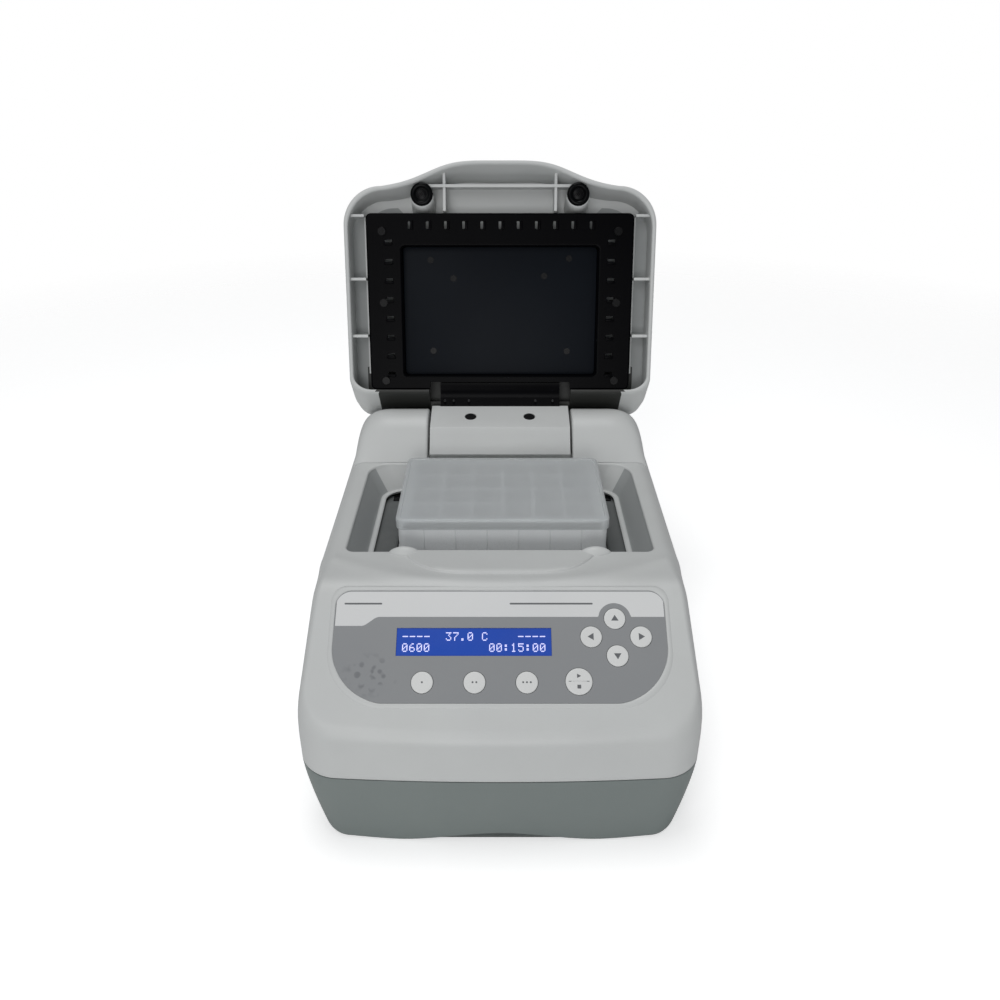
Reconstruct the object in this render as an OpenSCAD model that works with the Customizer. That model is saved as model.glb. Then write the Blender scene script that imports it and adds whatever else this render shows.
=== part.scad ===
// Bench thermal mixer for microplates: heated orbital shaker with a hinged, heated lid.
// Millimetres, +X to the right, +Y to the back, +Z up; the origin is the middle of the footprint on the bench.
// The model stands with its lid open on the stop. Every piece that moves is its own set of nodes.

/* [Case] */
// Width of the case
case_w = 206; // [196:1:222]
// Depth of the case, front face to back wall
case_d = 300; // [290:1:330]
// Height of the seam between the base tub and the upper case
seam_z = 45; // [40:1:50]
// Height of the flat top deck
deck_z = 120; // [116:1:124]
// How far the middle of the front face bows forward of its corners
front_bow = 4; // [3:0.5:6]
// Radius of the upright corners of the case
corner_r = 22; // [16:1:26]
// Radius of the long upper edges of the deck
deck_edge_r = 13; // [9:1:14]
// Wall thickness of the two case shells
wall_t = 2.8; // [2.4:0.1:3.2]

/* [Control panel] */
// Slope of the control panel
panel_angle = 35.5; // [33:0.5:38]
// Distance of the panel's middle behind the front face
panel_y = 40.5; // [38:0.5:43]
// Height of the panel's middle
panel_z = 101.3; // [100:0.1:102.5]
// Width of the printed overlay
overlay_w = 170; // [160:1:174]
// Diameter of a small round key
key_d = 11; // [9:0.5:11.5]
// Diameter of the start and stop key
start_key_d = 13.5; // [12:0.5:15]
// Travel of a key
key_travel = 0.6; // [0.4:0.1:0.8]

/* [Plate bay] */
// Height of the bay floor
bay_floor_z = 103; // [102:0.5:105]
// Gap between the heat block and the opening in the bay floor
slot_gap = 2.5; // [2.2:0.1:3]
// How far the bay wall leans in from the deck to the floor
bay_wall_in = 7.3; // [5:0.1:8]

/* [Lid] */
// Width of the lid
lid_w = 205; // [196:1:206]
// Angle that the lid opens from closed
lid_open = 105; // [80:1:105]
// Height of the closed lid's top above the bench
lid_top_z = 170; // [166:1:176]
// Distance of the hinge axis behind the front face
hinge_y = 238; // [237:0.5:239]
// Height of the hinge axis
hinge_z = 124; // [123.5:0.5:124.5]
// Radius of the knuckle that turns with the lid
knuckle_r = 22.6; // [21.5:0.1:22.8]
// Width of the knuckle
knuckle_w = 94; // [86:1:96]
// Diameter of the hinge shaft
hinge_d = 6; // [5:0.5:7]

/* [Shaker drive] */
// Throw of the crank, half of the orbit's diameter
orbit_r = 1.5; // [1:0.1:1.6]
// Diameter of the main crank shaft
shaft_d = 8; // [7:0.5:9]
// Diameter of the idler crank shafts
idler_d = 5; // [4:0.5:5.5]
// Running gap on radius between a shaft and its bearing
run_gap = 0.03; // [0.02:0.01:0.05]

/* [Microplate] */
// Footprint length of a standard microplate
plate_l = 127.8; // [127.5:0.1:128]
// Footprint width of a standard microplate
plate_w = 85.5; // [85.2:0.1:85.8]
// Height of the deep-well plate without its lid
plate_h = 41; // [38:0.5:41.5]
// Gap round the microplate in its nest
nest_gap = 0.5; // [0.3:0.1:0.8]

/* [Hidden] */
$fn = 64;
e = 0.01;                       // overshoot of a cutter past the face that it opens
seat_gap = 0.04;                // gap on diameter of a bearing in its seat
tub_z = 1.5;                    // height of the tub's underside above the bench
tub_floor = tub_z + wall_t;     // top of the tub's floor
half_w = case_w / 2;
bow_r = (half_w * half_w + front_bow * front_bow) / (2 * front_bow);
bay_front = 97.5;               // front edge of the bay at the deck
nest_l = plate_l + 2 * nest_gap;
nest_w = plate_w + 2 * nest_gap;
block_l = nest_l + 16.2;        // length of the heat block
block_w = nest_w + 5.5;         // width of the heat block, front to back
slot_w = block_l + 2 * slot_gap;
slot_d = block_w + 2 * (slot_gap + 0.5);
bay_w = slot_w + 2 * (bay_wall_in + 3.7);
bay_d = slot_d + 2 * (bay_wall_in * 0.55 + 1.485);
bay_mid_y = bay_front + bay_d / 2;
floor_t = wall_t;
front_cut = 4;                  // how far the edge between the panel and the front face is cut back
slot_r = 12;                    // corner radius of the opening in the bay floor
rear_deck_z = 118;              // height of the deck behind the hinge
hump_r = 20.6;                  // radius of the fixed hinge housings
hump_w = case_w - 12;           // width over both hinge housings
knuckle_reach = 28.6;           // distance of the knuckle's front corner from the hinge axis
trough_r = knuckle_r + 1;       // radius of the well that the knuckle turns in
shaft_l = knuckle_w + 28;       // length of the hinge shaft
hump_slope = 49.5;              // slope of the front faces of the hinge housings and the knuckle
rim_z = deck_z + 1;             // height of the closed lid's rim
cover_z = rim_z + 4;            // height of the closed lid's inner cover
seat_z = 89;                    // height that the microplate stands on
block_top_z = 99;
plate_top_z = seat_z + plate_h;

// The open lid reaches furthest back at the edge of its top; that sets the middle of the footprint.
lid_reach = hinge_y + (hinge_y - 92) * sin(lid_open - 90) + (lid_top_z - 20 - hinge_z) * cos(lid_open - 90) + 20;
mid_y = max(case_d, lid_reach) / 2;

// Points of an arc about (cx, cy) from angle a0 to a1.
function arc(cx, cy, r, a0, a1, n = 10) = [for (i = [0:n]) let (a = a0 + (a1 - a0) * i / n) [cx + r * cos(a), cy + r * sin(a)]];
// Outline of a rectangle about the origin with round corners.
function round_rect(w, d, r, n = 8) = concat(
    arc(w / 2 - r, d / 2 - r, r, 0, 90, n), arc(-w / 2 + r, d / 2 - r, r, 90, 180, n),
    arc(-w / 2 + r, -d / 2 + r, r, 180, 270, n), arc(w / 2 - r, -d / 2 + r, r, 270, 360, n));

module slab(w, d, r, z0, z1) { translate([0, 0, z0]) linear_extrude(z1 - z0) polygon(round_rect(w, d, r)); }
module peg(d, z0, z1, n = 48) { translate([0, 0, z0]) cylinder(d = d, h = z1 - z0, $fn = n); }
module ring(do, di, z0, z1) { difference() { peg(do, z0, z1); peg(di, z0 - 1, z1 + 1); } }
// Places its children in the frame: the case coordinates run from the front face.
module frame() { translate([0, -mid_y, 0]) children(); }
// Extrudes an outline drawn as (y, z) along X from x0 to x1.
module side_prism(x0, x1) { translate([x0, 0, 0]) rotate([90, 0, 90]) linear_extrude(x1 - x0) children(); }
// Extrudes an outline drawn as (x, z) along Y from y0 to y1.
module front_prism(y0, y1) { translate([0, y1, 0]) rotate([90, 0, 0]) linear_extrude(y1 - y0) children(); }
// The panel's own frame: +X right, +Y up the slope, +Z out of the panel.
module on_panel() { frame() translate([0, panel_y, panel_z]) rotate([panel_angle, 0, 0]) children(); }
// The lid is drawn closed and swung open about the hinge.
module swing() { frame() translate([0, hinge_y, hinge_z]) rotate([-lid_open, 0, 0]) translate([0, -hinge_y, -hinge_z]) children(); }
module at_bay() { frame() translate([0, bay_mid_y, 0]) children(); }

// ---------- case ----------
// Outline of the case in plan, drawn in by `inset`: round corners and a bowed front.
module case_plan(inset) {
    w = half_w - inset;
    r = corner_r - inset;
    intersection() {
        translate([0, bow_r]) circle(r = bow_r - inset, $fn = 1440);
        polygon(concat(
            arc(w - r, case_d - inset - r, r, 0, 90), arc(-w + r, case_d - inset - r, r, 90, 180),
            arc(-w + r, inset + r, r, 180, 270), arc(w - r, inset + r, r, 270, 360)));
    }
}

// Side profile of the upper case: upright front, sloping panel, brow, deck and the lower deck at the back.
module case_side(inset) {
    c = cos(panel_angle);
    s = sin(panel_angle);
    z_at = function (y) panel_z + (y - panel_y) * s / c - inset / c;
    top = deck_z - inset;
    y_top = panel_y + (top - panel_z + inset / c) * c / s;
    back = case_d - inset;
    r_back = 12 - inset;
    polygon(concat(
        [[-9, seam_z], [-9, z_at(inset) - front_cut - 9], [inset, z_at(inset) - front_cut],
         [inset + front_cut * c / s, z_at(inset + front_cut * c / s)],
         [y_top - 7, z_at(y_top - 7)], [y_top + 1, top - 1.2], [y_top + 13, top], [hinge_y, top], [hinge_y + 8, rear_deck_z - inset]],
        arc(back - r_back, rear_deck_z - inset - r_back, r_back, 90, 0, 6),
        [[back, seam_z]]));
}

// Front profile: the deck's long edges are round.
module case_front(inset) {
    w = half_w - inset;
    r = deck_edge_r - inset;
    polygon(concat([[-w, seam_z], [w, seam_z]], arc(w - r, deck_z - inset - r, r, 0, 90), arc(-w + r, deck_z - inset - r, r, 90, 180)));
}

module case_block(inset) {
    intersection() {
        translate([0, 0, seam_z]) linear_extrude(deck_z) case_plan(inset);
        side_prism(-half_w, half_w) case_side(inset);
        front_prism(-1, case_d + 1) case_front(inset);
    }
}

// One fixed hinge housing on the right: a lying barrel with a rounded outer end.
module hump_barrel(inset) {
    x0 = knuckle_w / 2 + 1.6 + inset;
    x1 = hump_w / 2 - inset;
    r = hump_r - inset;
    q = 12 - inset;
    translate([0, hinge_y, hinge_z]) rotate([0, 90, 0]) rotate_extrude($fn = 72)
        polygon(concat([[0, x1], [0, x0], [r, x0]], arc(r - q, x1 - q, q, 0, 90, 8)));
}

// The sloping front of a hinge housing, tangent to its barrel.
module hump_front() {
    n = 90 + hump_slope;
    side_prism(knuckle_w / 2 + 1.6, hump_w / 2 - 7) translate([hinge_y, hinge_z]) polygon([
        [(hump_r - 0.4) * cos(n - 4), (hump_r - 0.4) * sin(n - 4)],
        [-(hinge_y - bay_front - bay_d - 1), deck_z - 1 - hinge_z], [0, deck_z - 1 - hinge_z], [0, hump_r - wall_t]]);
}

// Outline of the well that the knuckle turns in: deeper where its front corner passes.
module trough_outline(g) {
    circle(r = trough_r + g, $fn = 96);
    intersection() {
        circle(r = knuckle_reach + 0.6 + g, $fn = 96);
        polygon([[0, 0], [-60, 12 + g], [-60, -60], [18 + g, -60], [18 + g, -8]]);
    }
}

module both_sides() { children(); mirror([1, 0, 0]) children(); }

// The bay: leaning walls down to the floor.
module bay_cut(z0) {
    n = 4;
    for (i = [0:n - 1])
        let (za = bay_floor_z + (deck_z - bay_floor_z) * i / n, k = 2 * bay_wall_in * (1 - (i + 1) / n))
            translate([0, bay_mid_y, 0]) slab(bay_w - k, bay_d - k * 0.55, 14, i == 0 ? z0 : za - e, za + (deck_z - bay_floor_z) / n + (i == n - 1 ? 5 : 0));
}

module upper_case() color("gainsboro") frame() difference() {
    union() {
        difference() {
            union() {
                case_block(0);
                both_sides() intersection() { hump_barrel(0); translate([0, 0, 60]) cube([half_w, case_d, 120]); }
                both_sides() hump_front();
            }
            difference() {
                union() {
                    translate([0, 0, -wall_t]) case_block(wall_t);
                    translate([0, 0, seam_z - 1]) linear_extrude(8) case_plan(wall_t);
                }
                // the bay's walls and floor, and the knuckle's well, hang from the deck
                translate([0, bay_mid_y, 0]) slab(bay_w + 2 * floor_t, bay_d + 2 * floor_t, 16, bay_floor_z - floor_t, deck_z);
                side_prism(-knuckle_w / 2 - 1.6, knuckle_w / 2 + 1.6) translate([hinge_y, hinge_z]) trough_outline(2.4);
            }
            both_sides() difference() {
                intersection() { hump_barrel(wall_t); translate([0, 0, deck_z - 12]) cube([half_w, case_d, 120]); }
            }
        }
        // bosses that carry the key board, and screw pillars hanging from the deck and the panel
        translate([0, panel_y, panel_z]) rotate([panel_angle, 0, 0]) for (p = board_spots()) translate([p[0], p[1], 0]) peg(6, -11.4, -2);
        intersection() {
            case_block(1);
            for (p = screw_spots()) translate([p[0], p[1], 0]) peg(9, seam_z, deck_z);
        }
        // the two domes at the ends of the finger scoop
        both_sides() translate([44, 93.5, deck_z - 1]) intersection() {
            translate([0, 0, -8]) sphere(r = 13);
            translate([-20, -20, 0]) cube([40, 23.4, 9]);
        }
    }
    bay_cut(bay_floor_z);
    translate([0, bay_mid_y, 0]) slab(slot_w, slot_d, slot_r, bay_floor_z - 9, bay_floor_z + 1);
    side_prism(-knuckle_w / 2 - 0.8, knuckle_w / 2 + 0.8) translate([hinge_y, hinge_z]) trough_outline(0);
    // finger scoop in front of the bay
    scoop();
    // hinge shaft passage
    translate([-shaft_l / 2 - 1, hinge_y, hinge_z]) rotate([0, 90, 0]) cylinder(d = hinge_d + 2 * run_gap, h = shaft_l + 2);
    // opening behind the control panel for keys and display
    translate([0, panel_y, panel_z]) rotate([panel_angle, 0, 0]) { panel_openings(); }
    for (p = screw_spots()) translate([p[0], p[1], 0]) peg(4.1, seam_z - 1, seam_z + 9);
    // rear openings
    rear_openings();
}

module scoop() {
    translate([0, 0, deck_z - 3.5]) linear_extrude(9)
        polygon([[-52, bay_front + 2], [-52, 93], [-46, 84], [-38, 77], [-28, 74], [28, 74], [38, 77], [46, 84], [52, 93], [52, bay_front + 2]]);
}

inlet_x = 58;
inlet_z = 66;
switch_x = 22;
fan_x = -48;
fan_z = 78;
fan_size = 50;
module rear_openings() {
    translate([inlet_x, case_d, inlet_z]) cube([27.4, 20, 20.4], center = true);
    translate([switch_x, case_d, inlet_z]) cube([13.4, 20, 19.4], center = true);
    // fan grille: rings of slots
    for (i = [-3:3]) translate([fan_x, case_d, fan_z + i * 6.4]) cube([2 * sqrt(22.5 * 22.5 - i * i * 6.4 * 6.4), 20, 3.2], center = true);
    for (s = [-1, 1], i = [-4:4]) translate([s * half_w, 232 + i * 7, 76]) cube([20, 3, 30], center = true);
}

module base_tub() color("darkseagreen") frame() difference() {
    union() {
        difference() {
            tub_block(0);
            tub_block(wall_t);
        }
        // screw pillars and foot pads
        for (p = screw_spots()) translate([p[0], p[1], 0]) peg(11, tub_z + 0.1, seam_z - 4);
        for (p = foot_spots()) translate([p[0], p[1], 0]) peg(26, tub_z + 0.1, 9);
    }
    for (p = screw_spots()) translate([p[0], p[1], 0]) { peg(4.2, -1, seam_z); peg(8, -1, 8); }
    for (p = foot_spots()) translate([p[0], p[1], 0]) peg(18.4, -1, 6);
    // cooling slots in the floor
    for (i = [-5:5]) translate([i * 9, 262, 0]) cube([4, 36, 20], center = true);
    // arch under the front edge
    front_prism(-1, 9) polygon(arc(0, -253, 258.5, 77, 103, 16));
}

// The tub: plan outline, drawn in towards the bottom in steps of a lean and a round.
module tub_block(inset) {
    n = 6;
    z0 = tub_z + inset;
    for (i = [0:n - 1])
        let (t0 = i / n, t1 = (i + 1) / n, za = z0 + (seam_z - z0) * t0 * t0, zb = z0 + (seam_z - z0) * t1 * t1)
            translate([0, 0, za]) linear_extrude(zb - za + (i < n - 1 ? e : (inset > 0 ? 1 : -0.5)))
                case_plan(inset + tub_in(zb));
}
function tub_in(z) = 9 * pow(1 - z / seam_z, 1.4);
function screw_spots() = [for (x = [-1, 1], y = [28, case_d - 28]) [x * (half_w - 17), y]];
function board_spots() = [for (x = [-74, 74], y = [-22, 20]) [x, y]];
function foot_spots() = [for (x = [-1, 1], y = [44, case_d - 44]) [x * (half_w - 35), y]];

module rubber_feet() color("black") frame() for (p = foot_spots()) translate([p[0], p[1], 0]) difference() { peg(18, 0, 6); peg(7, -1, 2.5); }

module case_screws() color("silver") frame() for (p = screw_spots()) translate([p[0], p[1], 0]) union() { peg(7.4, 5, 8); peg(4, 7, 52); }

// ---------- panel ----------
lcd_c = [-13.2, 0]; lcd_w = 79; lcd_h = 15;
function key_list() = [["up", 58.9, 12.2, key_d], ["down", 59.3, -7.3, key_d], ["left", 46.4, 2.6, key_d], ["right", 71.8, 2.6, key_d],
    ["f1", -38.8, -20.8, key_d], ["f2", -12.7, -20.8, key_d], ["f3", 13.4, -20.8, key_d], ["go", 39.3, -20.3, start_key_d]];

module overlay_outline(g) {
    w = overlay_w / 2 - g;
    polygon(concat(arc(w - 8, 27.4 - g - 8, 8, 0, 90, 6), arc(-w + 8, 27.4 - g - 8, 8, 90, 180, 6),
        arc(-w + 38, -32.3 + g + 35, 38, 184, 262, 10), arc(w - 38, -32.3 + g + 35, 38, 278, 356, 10)));
}
module panel_openings() {
    translate([lcd_c[0], lcd_c[1], -8]) linear_extrude(20) square([lcd_w, lcd_h], center = true);
    for (k = key_list()) translate([k[1], k[2], 0]) peg(k[3] + 1.2, -8, 8);
    translate([0, 0, -0.9]) linear_extrude(20) overlay_outline(-0.4);
}

module control_overlay() color("lightgray") on_panel() difference() {
    translate([0, 0, -0.9]) linear_extrude(1.1) overlay_outline(0);
    translate([lcd_c[0], lcd_c[1], -2]) linear_extrude(4) square([lcd_w, lcd_h], center = true);
    for (k = key_list()) translate([k[1], k[2], 0]) peg(k[3] + 0.8, -2, 2);
}

module lcd_window() color("royalblue") on_panel() translate([lcd_c[0], lcd_c[1], -2.4]) linear_extrude(2.4) square([lcd_w - 0.6, lcd_h - 0.6], center = true);
module lcd_module() color("darkgreen") on_panel() translate([lcd_c[0], lcd_c[1], 0]) union() {
    translate([0, 0, -8.4]) linear_extrude(6) square([lcd_w - 0.6, lcd_h - 0.6], center = true);
    translate([0, 0, -10]) linear_extrude(1.6 + e) square([lcd_w + 8, 26], center = true);
}
module key_board() color("darkgreen") on_panel() difference() {
    union() {
        translate([0, -2, -13]) linear_extrude(1.6) square([159, 52], center = true);
        for (k = key_list()) translate([k[1], k[2], 0]) difference() { peg(k[3] - 1.4, -11.4 - e, -6.4); peg(4.6, -8.4, -6); }
    }
}
// A key: a round cap on a stem, with a gap of its travel above its switch.
module key_cap(i) on_panel() let (k = key_list()[i]) translate([k[1], k[2], 0]) union() {
    peg(k[3], -3.4, 1.4);
    peg(4, -7.3, -3.4 + e);
}
module key_up() color("whitesmoke") key_cap(0);
module key_down() color("whitesmoke") key_cap(1);
module key_left() color("whitesmoke") key_cap(2);
module key_right() color("whitesmoke") key_cap(3);
module key_function_1() color("whitesmoke") key_cap(4);
module key_function_2() color("whitesmoke") key_cap(5);
module key_function_3() color("whitesmoke") key_cap(6);
module key_start_stop() color("whitesmoke") key_cap(7);

// ---------- electronics ----------
module main_board() color("green") frame() union() {
    translate([-60, 18, 12]) cube([120, 62, 1.6]);
    for (p = [[-50, 26, 14, 20, 8], [-26, 24, 22, 22, 5], [6, 30, 12, 12, 3], [30, 24, 18, 26, 14], [-40, 56, 50, 14, 9]])
        translate([p[0], p[1], 13.6 - e]) cube([p[2], p[3], p[4]]);
    for (x = [-54, 54], y = [23, 75]) translate([x, y, 0]) peg(6, tub_floor, 12 + e);
}
module power_supply() color("silver") frame() difference() {
    translate([-32, 232, tub_floor]) cube([84, 44, 34]);
    for (i = [0:7]) translate([-24 + i * 9, 254, 36]) cube([4, 30, 10], center = true);
}
module power_inlet() color("dimgray") frame() translate([inlet_x, case_d, inlet_z]) difference() {
    union() {
        translate([-13.5, -20, -10]) cube([27, 20.4, 20]);
        translate([-17, 0.02, -13.5]) cube([34, 2.4, 27]);
    }
    difference() {
        translate([-11.5, -14, -8]) cube([23, 30, 16]);
        for (x = [-7, 0, 7]) translate([x - 1, -16, x == 0 ? 0 : -4]) cube([2, 13, 4]);
    }
}
module switch_housing() color("black") frame() translate([switch_x, case_d, inlet_z]) difference() {
    union() {
        translate([-6.5, -16, -9.5]) cube([13, 16.4, 19]);
        translate([-8.5, 0.02, -11.5]) cube([17, 1.8, 23]);
    }
    translate([-5, -9, -8.2]) cube([10, 20, 16.4]);
}
module rocker_side() { polygon([[2.4, -7.2], [-5.6, -3], [-5.6, 3], [0, 7.2], [2, 6.6], [1.3, 0.6], [4, -6.3]]); }
module switch_rocker() color("black") frame() translate([switch_x, case_d - 1.5, inlet_z]) side_prism(-4.7, 4.7) rocker_side();
module fan_frame() color("black") frame() translate([fan_x, case_d - wall_t - 15.2, fan_z]) rotate([-90, 0, 0]) difference() {
    translate([0, 0, 7.5]) cube([fan_size, fan_size, 15], center = true);
    peg(46.5, -1, 10.5);
    difference() { peg(46.5, 10, 16); for (a = [0, 90]) rotate([0, 0, a + 45]) translate([0, 0, 13]) cube([60, 3, 5], center = true); peg(20, 9, 16); }
    peg(3 + 2 * run_gap, 5, 16);
}
module fan_rotor() color("black") frame() translate([fan_x, case_d - wall_t - 15.2, fan_z]) rotate([-90, 0, 0]) union() {
    peg(18, 0.5, 9.6);
    peg(3, 9, 13);
    for (i = [0:6]) rotate([0, 0, i * 360 / 7]) rotate([32, 0, 0]) translate([8.4, -0.6 - 2.6, 0.2]) cube([12.6, 1.2, 8.2]);
}

// ---------- drive ----------
chassis_z = 46;                 // underside of the heavy chassis plate
chassis_t = 8;
function idler_spots() = [for (x = [-1, 1], y = [-1, 1]) [x * (block_l / 2 - 14.5), y * (block_w / 2 - 12)]];
function post_spots() = [for (x = [-1, 1], y = [-1, 1]) [x * (half_w - 27), y * (bay_d / 2 - 2.5)]];
module chassis_plate() color("silver") at_bay() difference() {
    slab(case_w - 30, bay_d + 19, 8, chassis_z, chassis_z + chassis_t);
    peg(22, chassis_z - 1, chassis_z + 10);
    for (p = idler_spots()) translate([p[0], p[1], 0]) peg(16, chassis_z - 1, chassis_z + 10);
    for (p = post_spots()) translate([p[0], p[1], 0]) peg(4.2, chassis_z - 1, chassis_z + 10);
}
module chassis_posts() color("silver") at_bay() for (p = post_spots()) translate([p[0], p[1], 0]) union() {
    peg(10, tub_floor, chassis_z);
    peg(4, chassis_z - 1, chassis_z + chassis_t + 1);
    peg(7.5, chassis_z + chassis_t, chassis_z + chassis_t + 3);
}
module drive_motor() color("dimgray") at_bay() difference() {
    union() {
        peg(56, 14, chassis_z - 6);
        slab(62, 62, 6, chassis_z - 6, chassis_z);
        peg(30, 9, 14 + e);
    }
    peg(22, chassis_z - 7, chassis_z + 1);
    peg(40, 20, chassis_z - 10);
    peg(shaft_d + 2, 13, 60);
    peg(22, 13, 20 + e);
}
module crank_bearings() color("silver") at_bay() {
    ring(22 - seat_gap, shaft_d + 2 * run_gap, chassis_z - 6.9, chassis_z + chassis_t - 0.3);
    ring(22 - seat_gap, shaft_d + 2 * run_gap, 13.1, 19.9);
}
module idler_bearings() color("silver") at_bay() for (p = idler_spots()) translate([p[0], p[1], 0]) union() {
    ring(16 - seat_gap, idler_d + 2 * run_gap, chassis_z - e, chassis_z + chassis_t);
    ring(20, idler_d + 2 * run_gap, chassis_z - 6, chassis_z);
}
crank_z = chassis_z + chassis_t + 1; table_z = 66; table_t = 6;
module crank_shaft() color("silver") at_bay() union() {
    peg(shaft_d, 13.6, crank_z + e);
    peg(34, 21.5, chassis_z - 11.5);
    peg(38, crank_z, crank_z + 5);
    translate([orbit_r, 0, 0]) peg(shaft_d, crank_z + 5 - e, table_z + table_t - 0.6);
}
module crank_counterweight() color("goldenrod") at_bay() difference() {
    translate([0, 0, crank_z + 5]) linear_extrude(4) intersection() { circle(d = 46, $fn = 72); translate([-40, -40]) square([34, 80]); }
}
module idler_crank(i) color("silver") at_bay() let (p = idler_spots()[i]) translate([p[0], p[1], 0]) union() {
    peg(idler_d, chassis_z - 5, crank_z + e);
    peg(15, crank_z, crank_z + 5);
    translate([orbit_r, 0, 0]) peg(idler_d, crank_z + 5 - e, table_z + table_t - 0.6);
}
module idler_crank_1() idler_crank(0);
module idler_crank_2() idler_crank(1);
module idler_crank_3() idler_crank(2);
module idler_crank_4() idler_crank(3);

// The table stands off the crank's centre by the throw.
module at_table() at_bay() translate([orbit_r, 0, 0]) children();
module shake_table() color("silver") at_table() difference() {
    union() {
        slab(block_l + 1, block_w, 6, table_z, table_z + table_t);
    }
    peg(22, table_z - 1, table_z + table_t + 1);
    for (p = idler_spots()) translate([p[0], p[1], 0]) peg(14, table_z - 1, table_z + table_t + 1);
    for (p = block_screw_spots()) translate([p[0], p[1], 0]) { peg(3.4, table_z - 1, 80); peg(6.4, table_z - 1, table_z + 3.2); }
}
module table_bearings() color("silver") at_table() {
    ring(22 - seat_gap, shaft_d + 2 * run_gap, table_z, table_z + table_t - 0.3);
    for (p = idler_spots()) translate([p[0], p[1], 0]) ring(14 - seat_gap, idler_d + 2 * run_gap, table_z, table_z + table_t - 0.3);
}
function block_screw_spots() = [for (x = [-1, 1], y = [-1, 1]) [x * (block_l / 2 - 34.5), y * (block_w / 2 - 12)]];
module block_insulator() color("black") at_table() difference() {
    slab(block_l - 1, block_w - 2, 6, table_z + table_t, 79);
    slab(block_l - 21, block_w - 22, 6, 78, 80);
    for (p = block_screw_spots()) translate([p[0], p[1], 0]) peg(3.4, 60, 82);
}
module heater_film() color("orange") at_table() difference() {
    slab(block_l - 21.6, block_w - 22.6, 6, 78, 79);
    for (p = block_screw_spots()) translate([p[0], p[1], 0]) peg(5, 60, 82);
}
probe_d = 4;
module heat_block() color("dimgray") at_table() difference() {
    slab(block_l, block_w, 8, 79, block_top_z);
    slab(nest_l, nest_w, 3, seat_z, block_top_z + 1);
    // round the four corners of the nest for fingers
    for (x = [-1, 1], y = [-1, 1]) translate([x * nest_l / 2, y * nest_w / 2, 0]) rotate([0, 0, 45]) slab(5, 5, 1, seat_z, block_top_z + 1);
    for (p = block_screw_spots()) translate([p[0], p[1], 0]) peg(2.8, 78, 86);
    translate([-block_l / 2 - 1, 0, 84]) rotate([0, 90, 0]) cylinder(d = probe_d + 0.2, h = 40);
}
module temperature_probe() color("silver") at_table() translate([-block_l / 2 + 4.5, 0, 84]) rotate([0, 90, 0]) cylinder(d = probe_d, h = 34);
module block_screws() color("silver") at_table() for (p = block_screw_spots()) translate([p[0], p[1], 0]) union() { peg(6, table_z + 0.2, table_z + 3.2); peg(2.8, table_z + 3, 85); }

// ---------- microplate ----------
well_l = plate_l - 8.2;         // length of the block of wells
well_w = plate_w - 6.9;
pitch = (well_l - 11.6) / 6;    // spacing of the wells
module deep_well_plate() color("aliceblue") at_table() difference() {
    union() {
        slab(plate_l, plate_w, 3.5, seat_z, seat_z + 8);
        slab(well_l, well_w, 4, seat_z + 8 - e, plate_top_z);
    }
    // open under the skirt
    slab(plate_l - 3.4, plate_w - 3.4, 2.5, seat_z - 1, seat_z + 6.5);
    // 24 square wells
    for (i = [0:5], j = [0:3]) translate([(i - 2.5) * pitch - pitch / 2 + 0.7, (j - 1.5) * pitch - pitch / 2 + 0.7, seat_z + 8.5]) cube([pitch - 1.4, pitch - 1.4, plate_h]);
}
module plate_lid() color("aliceblue") at_table() difference() {
    slab(well_l + 2, well_w + 2.2, 4, plate_top_z - 5, plate_top_z + 1.6);
    slab(well_l + 0.6, well_w + 0.8, 3.6, plate_top_z - 6, plate_top_z);
}

// ---------- lid ----------
lid_half = lid_w / 2;
lid_back = 226;
lid_edge_r = 13;
// Front outline of the lid: a broad tongue in the middle, given as the distance from the case's front face.
function lid_front(x) = 75.5 - 19.2 / (1 + pow(abs(x) / 52, 4.5));
module lid_plan(g) {
    w = lid_half - g;
    y1 = lid_back - g;
    r = 13 - g;
    n = 22;
    polygon(concat(
        arc(w - r, y1 - r, r, 0, 90, 6), arc(-w + r, y1 - r, r, 90, 180, 6),
        arc(-w + r, 75.5 + g + r + 2, r, 180, 262, 6),
        [for (i = [0:n]) let (x = (-1 + 2 * i / n) * (w - r - 2)) [x, lid_front(x) + g * 1.06]],
        arc(w - r, 75.5 + g + r + 2, r, 278, 360, 6)));
}
// Side outline: raked front, round top edges, and a rear skirt that leans back over the hinge.
module lid_side(g) {
    top = lid_top_z - g;
    polygon(concat(
        [[56 + g, rim_z - 1 - e], [205.2 - g, rim_z - 1 - e], [206 - g, rim_z], [220.6 - g * 0.9, 138.8], [lid_back - g, 152 - g * 0.4]],
        arc(lid_back - g - 14, top - 14, 14, 0, 90, 6),
        arc(92 + g * 0.6, top - 20, 20, 90, 128, 6)));
}
module lid_front_view(g) {
    w = lid_half - g;
    top = lid_top_z - g;
    polygon(concat([[-w, rim_z - 1], [w, rim_z - 1]], arc(w - lid_edge_r, top - lid_edge_r, lid_edge_r, 0, 90, 6), arc(-w + lid_edge_r, top - lid_edge_r, lid_edge_r, 90, 180, 6)));
}
module lid_block(g) {
    intersection() {
        translate([0, 0, rim_z - (g > 0 ? 1 : 0)]) linear_extrude(60) lid_plan(g);
        side_prism(-lid_half, lid_half) lid_side(g);
        front_prism(40, 240) lid_front_view(g);
    }
}
cover_w = lid_w - 28;           // width of the lid's inner cover
cover_front = 88.5;
cover_back = 204;
bumper_at = [[-51, 77], [51, 77]];
function cover_screw_spots() = [for (x = [-1, 1], y = [100, 146, 198]) [x * (cover_w / 2 - 10.5), y]];
lid_t = 2.8;
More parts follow.
